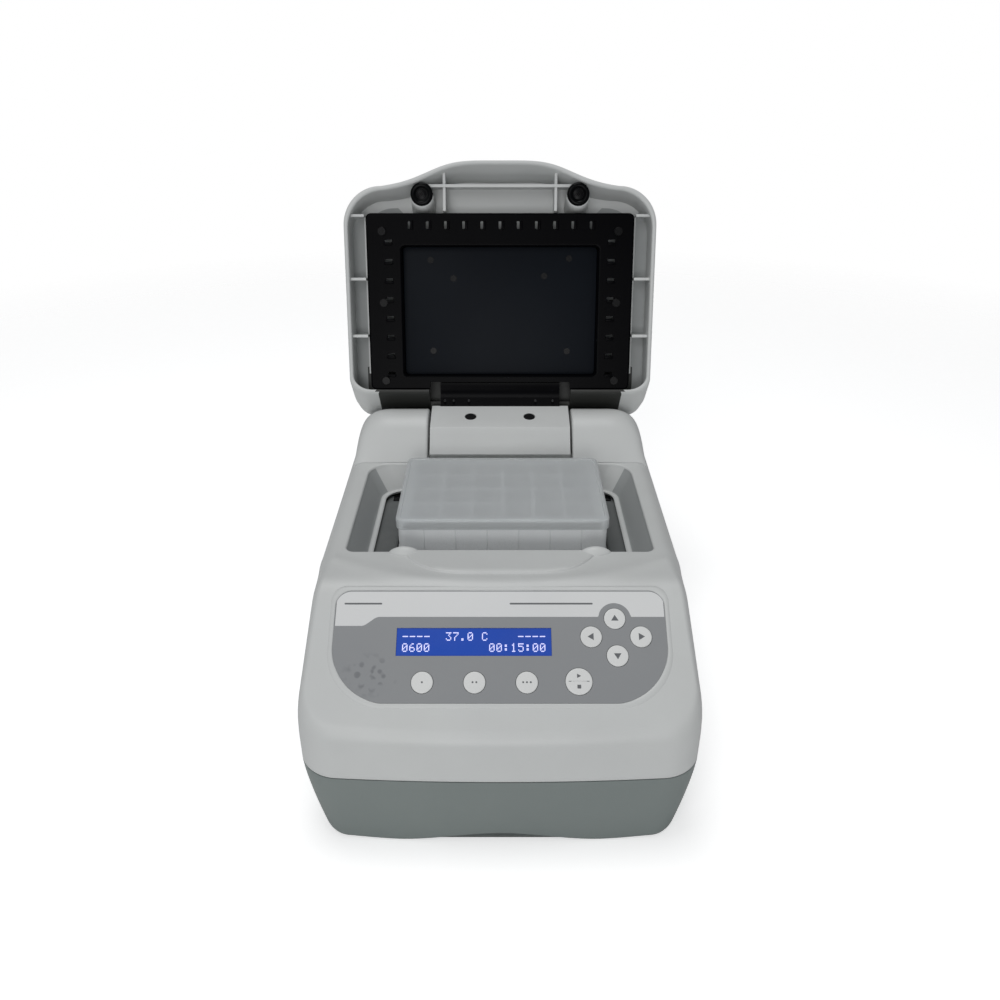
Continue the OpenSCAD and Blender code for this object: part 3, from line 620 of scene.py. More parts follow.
@dataclass(frozen=True)
class Finish:
    """A solid finish on one Principled shader.

    Its values are its name, tone, drift of tone, range of gloss, size and height of grain, dust and wear.
    """

    name: str
    tone: Colour
    drift: Colour
    gloss: tuple[float, float]
    grain_mm: float
    bump: float
    dust: float = 0.0
    wear: float = 0.0
    metallic: float = 0.0
    coat: float = 0.0
    ior: float = 1.46
    sheen: float = 0.0

    def values(self) -> dict[str, float]:
        """Constant values of the shader's own sockets."""
        return {"Metallic": self.metallic, "IOR": self.ior, "Coat Weight": self.coat, "Coat Roughness": 0.1,
                "Sheen Weight": self.sheen}

    def surface(self, t: Tree, shader: bpy.types.Node) -> bpy.types.NodeSocket:
        """Joins the shared groups to the shader.

        Args:
            t: The material's tree.
            shader: The Principled shader.

        Returns:
            The tone that the groups give.
        """
        grain = t.node("Group", node_tree=moulded_grain())
        low, high = self.gloss
        t.feed(grain, {"Tone": linear(*self.tone), "Drift": linear(*self.drift),
                       "Grain Scale": 1000.0 / self.grain_mm, "Gloss Low": low, "Gloss High": high})
        dust = t.node("Group", node_tree=settled_dust())
        edge = t.node("Group", node_tree=worn_edge())
        t.feed(dust, {"Amount": self.dust})
        t.feed(edge, {"Amount": self.wear})
        bump = t.node("Bump", {"Strength": self.bump, "Distance": 0.0004, "Height": grain.outputs["Height"]})
        t.feed(shader, {"Roughness": grain.outputs["Gloss"], "Normal": bump.outputs["Normal"]})
        rubbed = linear(*(min(255, c * 0.5 + 118) for c in self.tone))
        tone = t.blend(dust.outputs["Mask"], grain.outputs["Tone"], linear(176, 174, 168))
        return t.blend(edge.outputs["Mask"], tone, rubbed)

    def paint(self, t: Tree, shader: bpy.types.Node, tone: bpy.types.NodeSocket) -> None:
        """Puts the tone on the shader. Other finishes print over it here."""
        t.feed(shader, {"Base Color": tone})

    @cache
    def material(self) -> bpy.types.Material:
        """The material of this finish, made once."""
        made = bpy.data.materials.new(self.name + "_finish")
        made.use_nodes = True
        t = Tree(made.node_tree)
        shader = t.node("BsdfPrincipled", self.values())
        self.paint(t, shader, self.surface(t, shader))
        t.node("OutputMaterial", {"Surface": shader.outputs[0]})
        made.diffuse_color = linear(*self.tone)
        return made


@dataclass(frozen=True)
class ClearFinish(Finish):
    """Milky clear plastic: a plain transmission weight and alpha on top of a solid finish."""

    through: float = 0.7
    alpha: float = 1.0

    def values(self) -> dict[str, float]:
        """Constant values, with those of light that goes through."""
        return super().values() | {"Transmission Weight": self.through, "Alpha": self.alpha}


@dataclass(frozen=True)
class LitFinish(Finish):
    """A lit display: the tone also glows."""

    glow: float = 0.5

    def paint(self, t: Tree, shader: bpy.types.Node, tone: bpy.types.NodeSocket) -> None:
        """Joins the tone to colour and glow."""
        t.feed(shader, {"Base Color": tone, "Emission Color": tone, "Emission Strength": self.glow})


@dataclass(frozen=True)
class PrintedFinish(Finish):
    """A printed film: soft cloudy print in one corner of its own UV map, in millimetres of the panel."""

    ink: Colour = (120, 122, 125)
    corner: tuple[float, float] = (65.0, 17.0)
    reach: tuple[float, float] = (15.0, 12.0)

    def paint(self, t: Tree, shader: bpy.types.Node, tone: bpy.types.NodeSocket) -> None:
        """Mixes the ink over the tone by small leaf-like blots that thin out away from the corner.

        Args:
            t: The material's tree.
            shader: The Principled shader.
            tone: The tone under the ink.
        """
        uv = t.node("UVMap").outputs["UV"]
        split = t.node("SeparateXYZ", {0: uv}).outputs
        blots = t.node("TexVoronoi", {"Scale": 0.30, "Randomness": 1.0, "Vector": uv}, feature="SMOOTH_F1")
        away = [t.math("DIVIDE", t.math("ADD", split[k], self.corner[k]), self.reach[k]) for k in (0, 1)]
        far = t.math("ADD", *(t.math("MULTIPLY", d, d) for d in away))
        near = t.math("SUBTRACT", 1.0, far, clamp=True)
        spot = t.math("MULTIPLY", t.math("SUBTRACT", 0.46, blots.outputs["Distance"]), 6.0, clamp=True)
        patch = t.scaled(t.noise(uv, 0.16, detail=2.0), 0.40, 8.0)
        mask = t.math("MULTIPLY", t.math("MULTIPLY", spot, patch), t.math("MULTIPLY", near, 1.2), clamp=True)
        t.feed(shader, {"Base Color": t.blend(mask, tone, linear(*self.ink))})


class Finishes:
    """The finishes of the instrument."""

    CASE = Finish("case_plastic", (203, 205, 204), (197, 199, 199), (0.36, 0.46), 0.6, 0.06, 0.10, 0.25)
    # Painted shade: the case plastic in a darker tone, put on the bay's side walls and the deep sides of the
    # lid's liner where shade falls.
    BAY_PAINTED_SHADE = Finish("bay_wall_painted_shade", (158, 161, 161), (152, 155, 156), (0.46, 0.56), 0.6, 0.08, 0.06, 0.1)
    BASE = Finish("base_plastic", (124, 132, 130), (118, 126, 125), (0.42, 0.54), 0.7, 0.09, 0.06, 0.2)
    FILM = PrintedFinish("overlay_film", (143, 145, 147), (139, 141, 144), (0.34, 0.42), 0.35, 0.05, 0.05)
    STRIP = Finish("print_light", (219, 220, 220), (214, 215, 216), (0.34, 0.42), 0.35, 0.05, 0.05)
    INK = Finish("print_dark", (104, 106, 109), (98, 100, 103), (0.36, 0.44), 0.35, 0.05, 0.02)
    SCREEN = LitFinish("lcd_blue", (24, 66, 158), (18, 56, 146), (0.10, 0.16), 1.0, 0.01, 0.02, coat=0.6,
                       glow=0.42)
    PIXEL = LitFinish("lcd_light", (205, 206, 240), (190, 192, 236), (0.3, 0.4), 0.3, 0.0, glow=0.75)
    KEY = Finish("key_plastic", (222, 223, 222), (214, 215, 215), (0.34, 0.44), 0.4, 0.05, 0.05, 0.1)
    BOARD = Finish("circuit_board", (28, 92, 58), (20, 74, 46), (0.22, 0.36), 0.5, 0.08, 0.1, 0.1, coat=0.3)
    # Painted shade: near-black plastic put on the lid's rear skirt and the liner behind the cover, which are
    # only in shade.
    SKIRT_PAINTED_SHADE = Finish("skirt_painted_shade", (44, 45, 43), (36, 37, 35), (0.45, 0.6), 0.6, 0.08, 0.02, 0.1)
    BLACK = Finish("black_plastic", (30, 31, 33), (22, 23, 25), (0.36, 0.5), 0.6, 0.08, 0.05, 0.2)
    COVER = Finish("cover_black", (4, 4, 6), (2, 2, 4), (0.26, 0.36), 0.8, 0.03, 0.0, 0.01, ior=1.11)
    COVER_SCREW = Finish("cover_screw", (9, 9, 11), (6, 6, 8), (0.22, 0.32), 0.4, 0.04, 0.0, 0.05, ior=1.2)
    HEATER = Finish("lid_heater", (18, 22, 28), (15, 18, 24), (0.34, 0.46), 0.5, 0.04, 0.002, 0.02, ior=1.14)
    RUBBER = Finish("rubber_black", (5, 6, 8), (3, 4, 5), (0.14, 0.24), 0.9, 0.02, 0.0, 0.01, ior=1.18)
    FOOT = Finish("foot_rubber", (26, 26, 27), (20, 20, 21), (0.55, 0.7), 0.5, 0.12, 0.08, 0.1)
    STEEL = Finish("plate_steel", (176, 178, 180), (160, 162, 166), (0.24, 0.4), 0.4, 0.06, 0.05, 0.3, 1.0)
    SCREW = Finish("dark_screw", (44, 44, 46), (34, 34, 36), (0.24, 0.36), 0.3, 0.05, 0.02, 0.5, 0.85)
    MOTOR = Finish("motor_grey", (92, 95, 98), (84, 87, 90), (0.35, 0.5), 0.5, 0.08, 0.05, 0.3, 0.6)
    BRASS = Finish("brass", (196, 164, 96), (182, 148, 80), (0.2, 0.32), 0.3, 0.05, 0.02, 0.3, 1.0)
    TABLE = Finish("table_alu", (186, 188, 190), (172, 174, 178), (0.3, 0.42), 0.3, 0.08, 0.05, 0.3, 1.0)
    BLOCK = Finish("block_alu", (96, 99, 99), (88, 91, 92), (0.38, 0.5), 0.4, 0.06, 0.06, 0.3, 0.15)
    FILM_HEATER = Finish("heater_film", (188, 112, 40), (170, 96, 30), (0.16, 0.28), 0.6, 0.05)
    PROBE = Finish("probe_steel", (205, 206, 208), (190, 191, 194), (0.12, 0.22), 0.3, 0.02, 0.0, 0.1, 1.0)
    WOOL = Finish("insulation", (196, 188, 156), (182, 172, 138), (0.8, 0.95), 0.9, 0.5, sheen=0.3)
    CLEAR = ClearFinish("clear_plastic", (228, 230, 231), (222, 225, 227), (0.22, 0.34), 0.6, 0.0, ior=1.25,
                        through=0.03, alpha=0.84)
    CLEAR_LID = ClearFinish("clear_lid", (230, 233, 234), (224, 228, 230), (0.12, 0.22), 0.8, 0.0, ior=1.25,
                            through=0.36, alpha=0.66)


# ---------------------------------------------------------------- upper case
@dataclass
class CaseShell:
    """The upper case: bowed walls, sloped panel, stepped pad, bay and rear deck as one thick skin."""

    step: float = 1.15
    step_w: float = 1.1
    scoop_y: float = 74.5
    scoop_rise: float = 20.5
    scoop_half: float = 52.5
    melt: float = 4.0
    brow_y: float = 66.0
    brow_fall: float = 18.0
    ridge: float = 0.7
    ridge_w: float = 4.5
    rim_r: float = 1.2
    sharper: float = 9.0
    turn_w: float = 31.0
    floor_r: float = 1.4
    lean_size: tuple[float, float] = (157.4, 101.0)
    slot_size: tuple[float, float, float] = (150.0, 98.0, 12.0)
    columns: tuple[int, int, int, int, int] = (54, 70, 20, 40, 21)
    key_places: tuple[tuple[float, float, float], ...] = ()

    def edge(self, d: float) -> tuple[Points, Points]:
        """The right half of the wall's outline, from the front middle round to the rear middle.

        A circle of the bow's radius meets the side by a tangent arc; then a straight side and a quarter arc.

        Args:
            d: Distance that the outline is drawn in.

        Returns:
            Points at the shell's columns, and inward normals.
        """
        w, r, big = D.half_w, D.corner_r, D.bow_r
        cx, cy = w - r, big - math.sqrt((big - r) ** 2 - (w - r) ** 2)
        rear_y, end = D.depth - r, w - self.turn_w
        nf, nc, ns, nr, nb = self.columns
        x = np.linspace(0, end, nf)
        front = np.stack([x, big - np.sqrt(big**2 - x**2)], -1)
        a = np.linspace(math.atan2(cx, big - cy), math.pi / 2, 60)
        fillet = np.stack([cx + r * np.sin(a), cy - r * np.cos(a)], -1)
        turn = along(np.concatenate([front[-1:], fillet, [[w, D.bay_y - D.bay_d / 2 + D.bay_r]]]), nc)
        side = np.stack([np.full(ns, w), np.linspace(turn[-1, 1], D.bay_y + D.bay_d / 2 - D.bay_r, ns)], -1)
        back = along(np.concatenate([side[-1:], arc(cx, rear_y, r, 0, 90, 40), [[end, D.depth]]]), nr)
        rear = np.stack([np.linspace(end, 0, nb), np.full(nb, D.depth)], -1)
        path = np.concatenate([front, turn[1:], side[1:], back[1:], rear[1:]])
        px, py = path.T
        in_fillet = (px > cx + 1.36) & (py < cy) | (px > cx) & (py > rear_y)
        centre = np.where((py < D.depth / 2)[:, None], [cx, cy], [cx, rear_y])
        n = np.where(in_fillet[:, None], unit(centre - path), unit([0, big] - path))
        n = np.where(((py >= cy) & (py <= rear_y))[:, None], [-1.0, 0.0], n)
        n = np.where(((py > rear_y) & (px <= cx))[:, None], [0.0, -1.0], n)
        return path + n * d, n

    def rim(self, w: float, d: float, r: float) -> Points:
        """The right half of a bay outline: straight front, small arc, side, quarter arc and rear.

        Args:
            w: Width.
            d: Depth.
            r: Radius of the rear corners.

        Returns:
            Points at the shell's columns.
        """
        nf, nc, ns, nr, nb = self.columns
        y0, y1 = D.bay_y - d / 2, D.bay_y + d / 2
        cx, rf = w / 2 - r, max(r - self.sharper, 0.6)
        front = np.stack([np.linspace(0, w / 2 - rf, nf), np.full(nf, y0)], -1)
        turn = arc(w / 2 - rf, y0 + rf, rf, -90, 0, nc)
        side = np.stack([np.full(ns, w / 2), np.linspace(y0 + rf, y1 - r, ns)], -1)
        back = arc(cx, y1 - r, r, 0, 90, nr)
        rear = np.stack([np.linspace(cx, 0, nb), np.full(nb, y1)], -1)
        return np.concatenate([front, turn[1:], side[1:], back[1:], rear[1:]])

    def height(self, x: Points, y: Points) -> Points:
        """Height of the top: a smooth minimum of the panel's plane and the deck, with a bell-shaped brow.

        Args:
            x: Places along x.
            y: Places along y.

        Returns:
            Heights above the bench.
        """
        plane = D.panel_z + (y - D.panel_y) * math.tan(D.panel_slope)
        deck = D.deck_z - (D.deck_z - D.rear_deck_z) * smooth((y - D.hinge_y) / 8)
        near = np.clip(self.melt - np.abs(plane - deck), 0, None) / self.melt
        brow = self.brow_y + self.brow_fall * (np.abs(x) / 80) ** 2.2
        bump = self.ridge * np.exp(-(((y - brow) / self.ridge_w) ** 2)) * smooth((y - 50) / 14)
        return np.minimum(plane, deck) - near * near + bump

    def rows(self) -> Points:
        """Rings of one half: up the wall, over the edge by a cubic curve, across the top, into the bay."""
        wall, n = self.edge(0.0)
        y0 = wall[:, 1]
        inset = np.interp(y0, [0, 20, 63, 90, 240, 300], [5.0, 5.8, 9, 13.0, 13.0, 12])
        drop = np.interp(y0, [0, 8, 22, 63, 97, 240, 300], [4.5, 9.0, 20.0, 25.0, 16.0, 12.0, 9.0])
        draft = np.interp(y0, [0, 6, 20, 63, 97, 300], [0, 0, 0.05, 0.05, 0.028, 0.02])
        around = lambda g: self.rim(D.bay_w + 2 * g, D.bay_d + 2 * g, D.bay_r + g)
        lean = lambda z: wall + n * (draft * np.maximum(z - 60.0, 0.0))[:, None]
        rim, brim = around(self.rim_r), wall + n * inset[:, None]
        corner, top = self.height(wall[:, 0], y0), self.height(*brim.T)
        seam = ((0.15, 1.3), (0.15, 0.55), (0.35, 0.2), (0.7, 0.0))
        rings = [at_height(wall + n * d, D.seam_z + z) for z, d in seam]
        for t in np.linspace(0.12, 1, 7):
            z = (D.seam_z + seam[-1][0]) * (1 - t) + (corner - drop) * t
            rings.append(at_height(lean(z), z))
        foot, head, k = lean(corner - drop), lean(corner), 0.56
        for t in np.linspace(0, 1, 11)[1:]:
            share = ((1 - t) ** 3, 3 * t * (1 - t) ** 2, 3 * t * t * (1 - t), t**3)
            xy = (foot, foot + (head - foot) * k, head + (brim - head) * (1 - k), brim)
            z = (corner - drop, corner - drop * (1 - k), corner + (top - corner) * (1 - k), top)
            rings.append(at_height(*(sum(p * b for p, b in zip(curve, share)) for curve in (xy, z))))
        rings += self.across(brim, rim)
        last = rings[-1][:, 2]
        for a in np.radians([22, 45, 68, 90]):
            out = self.rim_r * (1 - math.sin(a))
            rings.append(at_height(around(out), last - self.rim_r * (1 - math.cos(a))))
        low, floor = last - self.rim_r, D.bay_floor_z
        (lean_w, lean_d), (slot_w, slot_d, slot_r), r = self.lean_size, self.slot_size, self.floor_r
        foot, head = self.rim(lean_w, lean_d, D.bay_r), rings[-1][:, :2]
        for t in np.linspace(0, 1, 9)[1:]:
            rings.append(at_height(head * (1 - t) + foot * t, low * (1 - t) + (floor + r) * t))
        for t in (0.5, 1.0):
            foot = self.rim(lean_w - 2 * t * 1.2, lean_d - 2 * t * 0.5, D.bay_r - t)
            rings.append(at_height(foot, floor + r - r * math.sin(t * 1.57)))
        rings.append(at_height(self.rim(slot_w + 1.2, slot_d + 1.2, slot_r + 0.6), floor))
        rings.append(at_height(self.rim(slot_w, slot_d, slot_r), floor - 0.6))
        return np.stack(rings)

    def across(self, brim: Points, rim: Points) -> list[Points]:
        """Rings across the top, gathered where the finger scoop's step crosses; the step is a smooth rise.

        Args:
            brim: Outer edge of the top.
            rim: Edge of the bay, at the same columns.

        Returns:
            The rings.
        """
        across = np.abs(brim[:, 0]) * 0.2 + np.abs(rim[:, 0]) * 0.8
        step_y = self.scoop_y + self.scoop_rise * np.minimum(1, across / self.scoop_half) ** 5.0
        mid = (across <= D.half_w - self.turn_w) & (self.edge(0.0)[0][:, 1] < D.depth / 2)
        span = np.maximum(rim[:, 1] - brim[:, 1], 1e-6)
        at = np.where(mid & (across < self.scoop_half), (step_y - brim[:, 1]) / span, 0.962)
        width = np.where(mid, self.step_w / span, 0.02)
        fade = smooth((self.scoop_half - across) / 4.0) * mid
        steps = [(t, 0, 0.0) for t in np.linspace(0, 1, 27)[1:]]
        steps += [(1, t, t) for t in np.linspace(0, 1, 6)[1:]]
        steps += [(1, 1 + t, 1.0) for t in np.linspace(0, 1, 7)[1:]]
        rings = []
        for a, b, deep in steps:
            f = at * a + width * min(b, 1)
            f = f + (1 - f) * max(b - 1, 0)
            xy = brim + (rim - brim) * f[:, None]
            rings.append(at_height(xy, self.height(*xy.T) + self.step * fade * smooth(deep)))
        return rings

    def build(self) -> None:
        """Builds the skin from both halves, thickens it inwards and cuts its openings."""
        whole = both_halves(self.rows())
        mid = middles(whole)
        first, last = len(mid) - 12, len(mid) - 3
        side, along_y = np.abs(mid[first, :, 0]), np.abs(mid[first, :, 1] - D.bay_y)
        # Painted shade: the bay's left and right walls are chosen here for the darker bay finish that stands
        # in for their shade.
        wall = np.zeros(mid.shape[:2], bool)
        wall[first:last] = (side > D.bay_w / 2 - 4.1) & (along_y < D.bay_d / 2 - 4.1)
        skin = Skin("case_shell", in_case).grid(whole).choose(wall)
        place = Place("case", "case_plastic", ("upper_case",))
        obj = skin.build(place, Finishes.CASE, Finishes.BAY_PAINTED_SHADE, sharp=34, turn_out=False)
        thick = obj.modifiers.new("wall", "SOLIDIFY")
        thick.thickness, thick.offset, thick.use_even_offset = D.wall * MM, -1.0, False
        apply_modifiers(obj)
        cut(obj, self.openings(), 30)

    def openings(self) -> Skin:
        """Closed shapes for the vents, rear sockets, hinge well, display and key holes."""
        tool = Skin("openings", in_case)
        vent, rear = round_rect(3.0, 30.0, 1.5), (294.0, 303.0)
        for side in SIDES:
            for i in range(-4, 5):
                tool.solid(prism(vent + [232 + 7 * i, 76], 0, side * 98.0, side * 105.0))
        for cx, cz, w, h, r in ((58, 66, 27.4, 20.4, 2.0), (22, 66, 13.4, 19.4, 1.0)):
            tool.solid(prism(round_rect(w, h, r) + [cx, cz], 1, *rear))
        for i in range(-3, 4):
            reach = 2 * math.sqrt(22.5**2 - (6.4 * i) ** 2)
            tool.solid(prism(round_rect(reach, 3.2, 1.6) + [-48, 78 + 6.4 * i], 1, *rear))
        well = np.concatenate([HingeHousings().well_outline(), [[261.0, 126.0], [209.4, 126.0]]])
        tool.solid(prism(well, 0, -47.8, 47.8))
        tool.into = in_panel
        (x0, x1), (v0, v1) = Panel.screen_x, Panel.screen_v
        tool.solid(box_points((x0 - 0.4, v0 - 0.4, -9.0), (x1 + 0.4, v1 + 0.4, 2.0)))
        for x, v, r in self.key_places:
            tool.solid(lathe([(r + 0.35, -4.5), (r + 0.35, 2.0)], 40) + [x, v, 0])
        return tool


# ---------------------------------------------------------------- base
@dataclass
class BaseTub:
    """The grey base: it narrows towards the bench, with an arch under its front edge and slots for air."""

    inset: float = 9.0
    bottom_z: float = 1.5
    round_r: float = 3.0
    arch: float = 5.0
    sink: float = 1.2
    forward: float = 0.86
    pinch: float = 0.25
    well_x: float = 86.0
    well_y: tuple[float, float] = (28.0, 272.0)

    def ring(self, d: float, z: float, arch: float = 0.0) -> Points:
        """The case's outline drawn in, its front edge raised to the arch in a smooth bump.

        Args:
            d: Distance that it is drawn in.
            z: Height.
            arch: Share of the arch.

        Returns:
            The ring.
        """
        xy = both_halves(CaseShell().edge(d)[0])
        near = smooth(1 - xy[:, 1] / 60)
        aside = smooth((np.abs(xy[:, 0]) - 50) / 40) * near
        xy[:, 1] -= d * self.forward * near
        xy[:, 0] -= np.sign(xy[:, 0]) * d * self.pinch * aside
        middle = smooth(1 - np.abs(xy[:, 0]) / 54)
        corner = smooth((np.abs(xy[:, 0]) - 54) / 34)
        bump = middle * self.arch - self.sink * (1 - middle) * (1 - corner)
        return at_height(xy, z + arch * bump * near)

    def build(self) -> None:
        """Builds the tub as a closed loft with a hollow, then cuts the screw wells and the floor slots."""
        low, wall = self.bottom_z + self.round_r, D.wall
        narrow = lambda z: self.inset * (1 - z / D.seam_z) ** 1.4
        hollow = ((13.0 + wall, self.bottom_z + 2.8), (3.0 + wall, 16.0), (1.4 + wall, 40.0),
                  (1.4 + wall, 44.85))
        lip = ((1.4, 44.85), (0.5, 44.85), (0.12, 44.6), (0.05, 44.0))
        rings = [self.ring(d, z) for d, z in hollow + lip]
        for z in np.linspace(43, low, 16):
            rings.append(self.ring(narrow(z), z, max(0.0, min(1.0, 1 + (low + 1.5 - z) / 12)) ** 2))
        for a in np.radians([25, 50, 72, 90]):
            d = narrow(low) + self.round_r * (1 - math.cos(a)) + 0.3
            rings.append(self.ring(d, self.bottom_z + self.round_r * (1 - math.sin(a)), 1.0))
        skin = Skin("base_tub_shell", in_case).solid(np.stack(rings))
        obj = skin.build(Place("case", "base_plastic", ("base_tub",)), Finishes.BASE, sharp=34)
        tool = Skin("wells", in_case)
        for side in SIDES:
            for y in self.well_y:
                tool.solid(lathe([(4.0, -3.0), (4.0, 11.0)], 32) + [side * self.well_x, y, 0])
        for i in range(-5, 6):
            tool.solid(prism(round_rect(4, 36, 2) + [9.0 * i, 262.0], 2, -2.0, 12.0))
        cut(obj, tool, 34)


@dataclass
class HingeHousings:
    """The two humps of the case beside the hinge, and the well that the middle of the hinge turns in."""

    slope: float = 49.5
    radius: float = 20.6
    inner_x: float = 48.6
    outer_x: float = 98.0
    fall: float = 24.0
    power: float = 2.3
    bevel: float = 1.6
    well_r: float = 23.6
    corner_r: float = 29.2
    step_y: float = 18.0
    well_wall: float = 1.6

    def well_outline(self, g: float = 0.0) -> Points:
        """Outline of the well as (y, z): a deep arc for the knuckle's corner and then a shallow one.

        Args:
            g: Distance outside the well's surface.

        Returns:
            Points from the front round below to the rear.
        """
        deep, shallow = self.corner_r + g, self.well_r + g
        bend = [-math.degrees(math.acos((self.step_y + g) / r)) for r in (deep, shallow)]
        y, z = D.hinge_y, D.hinge_z
        return np.concatenate([arc(y, z, deep, -168, bend[0], 60), arc(y, z, shallow, bend[1], -12, 16)])

    def profile(self) -> Points:
        """Side outline as (y, z): a slope that touches a circle round the hinge, then the circle itself."""
        y, z, turn = D.hinge_y, D.hinge_z, math.radians(90 + self.slope)
        tangent = np.array([y + self.radius * math.cos(turn), z + self.radius * math.sin(turn)])
        foot_y = tangent[0] - (tangent[1] - D.deck_z) / math.tan(math.radians(self.slope))
        foot = np.array([foot_y, D.deck_z + 0.8])
        ramp = foot + (tangent - foot) * np.linspace(0, 1, 14)[:, None]
        curve = arc(y, z, self.radius, 90 + self.slope, -12, 54)
        return np.concatenate([[[foot_y, D.deck_z - 1.0]], ramp, curve[1:]])

    def deck_at(self, x: float) -> float:
        """Height of the case's own rounded side edge at x: level, then a quarter curve down to the wall."""
        over = max(0.0, (abs(x) - (D.half_w - 13)) / 13)
        return D.deck_z - 9.75 * (1 - (1 - min(over, 0.999) ** 2.2) ** (1 / 2.2))

    def hump(self, side: int) -> Points:
        """Rings along x: the outline shrinks down to the deck by a power curve that ends at the outer end.

        Args:
            side: Minus one for the left hump, one for the right.

        Returns:
            A stack of rings.
        """
        shape, fall, start, b = self.profile(), self.fall, self.outer_x - self.fall, self.bevel
        bend = np.radians([0, 30, 60, 90])
        places = [(self.inner_x + b * (1 - math.cos(a)), b * (1 - math.sin(a))) for a in bend]
        places += [(x, 0.0) for x in np.linspace(self.inner_x + 2.4, start, 10)]
        places += [(start + fall * math.sin(a), 0.0) for a in np.radians(np.linspace(0, 90, 25)[1:])]
        rings = []
        for x, shrink in places:
            gone = (max(0.0, x - start) / fall) ** self.power
            s = (fall * max(0.0, 1 - gone) ** (1 / self.power) + 0.6) / (fall + 0.6)
            base = self.deck_at(x)
            yz = shape - unit(shape - [D.hinge_y, D.hinge_z]) * shrink
            yz[:, 1] = base + (yz[:, 1] - D.deck_z) * np.where(yz[:, 1] > D.deck_z, s, 1.0)
            under = [[yz[-1, 0], base - 4.5], [yz[0, 0], base - 4.5]]
            rings.append(np.insert(np.concatenate([yz, under]), 0, side * x, axis=1))
        return np.stack(rings)

    def build(self) -> None:
        """Builds both humps as one piece and the well as another."""
        humps, well = Skin("hinge_humps", in_case), Skin("hinge_well", in_case)
        cheek = self.well_outline(self.well_wall)
        well.solid(prism(np.concatenate([self.well_outline(), cheek[::-1]]), 0, -49.0, 49.0))
        for side in SIDES:
            humps.solid(self.hump(side))
            well.solid(prism(cheek, 0, side * 47.9, side * 49.2))
        humps.build(Place("case", "case_plastic"), Finishes.CASE, sharp=38)
        well.build(Place("case", "black_plastic"), Finishes.BLACK, sharp=38)


@dataclass
class RestDomes:
    """The two low lobes at the ends of the finger scoop, on the edge of the bay."""

    x: float = 53.0
    y: float = 96.6
    wide: float = 8.8
    front: float = 4.6
    rear: float = 1.4
    base_z: float = 119.7
    rise: float = 4.2

    def build(self) -> None:
        """Builds each lobe over two half ellipses: its height is a steepened cosine of the way out."""
        skin = Skin("rest_lobes", in_case)
        a = circle(64)
        reach = np.where(np.sin(a) < 0, self.front, self.rear)
        up = lambda k: self.rise * math.cos(k * math.pi / 2) ** 0.6 - 0.35
        levels = [(1.0, -6.0)] + [(k, up(k)) for k in np.linspace(1.0, 0.04, 15)]
        for side in SIDES:
            x = side * self.x
            plan = lambda k: np.stack([x + self.wide * k * np.cos(a), self.y + reach * k * np.sin(a)], -1)
            skin.solid(np.stack([at_height(plan(k), self.base_z + h) for k, h in levels]))
        skin.build(Place("case", "case_plastic"), Finishes.CASE, sharp=60)


# ---------------------------------------------------------------- panel
class Mark(Enum):
    """What is moulded into the top of a key."""

    UP = "up"
    DOWN = "down"
    LEFT = "left"
    RIGHT = "right"
    ONE = "one"
    TWO = "two"
    THREE = "three"
    BAR = "bar"


@dataclass(frozen=True)
class Key:
    """One key: its body, place on the panel, diameter and mark."""

    body: str
    x: float
    v: float
    d: float
    mark: Mark


KEYS = (
    Key("key_up", 58.9, 12.2, 11.0, Mark.UP),
    Key("key_down", 59.3, -7.3, 11.0, Mark.DOWN),
    Key("key_left", 46.4, 2.6, 11.0, Mark.LEFT),
    Key("key_right", 71.8, 2.6, 11.0, Mark.RIGHT),
    Key("key_function_1", -38.8, -20.8, 11.0, Mark.ONE),
    Key("key_function_2", -12.7, -20.8, 11.0, Mark.TWO),
    Key("key_function_3", 13.4, -20.8, 11.0, Mark.THREE),
    Key("key_start_stop", 39.3, -20.3, 13.5, Mark.BAR),
)


def flat_slab(outline: Points, w0: float, w1: float, b: float = 0.0) -> Points:
    """A thin slab on the panel: an outline at two heights, its top drawn in slightly for a soft edge."""
    rings = [at_height(outline, w0), at_height(outline, w1 - b)]
    return np.stack(rings + ([at_height(drawn_in(outline, b), w1)] if b else []))


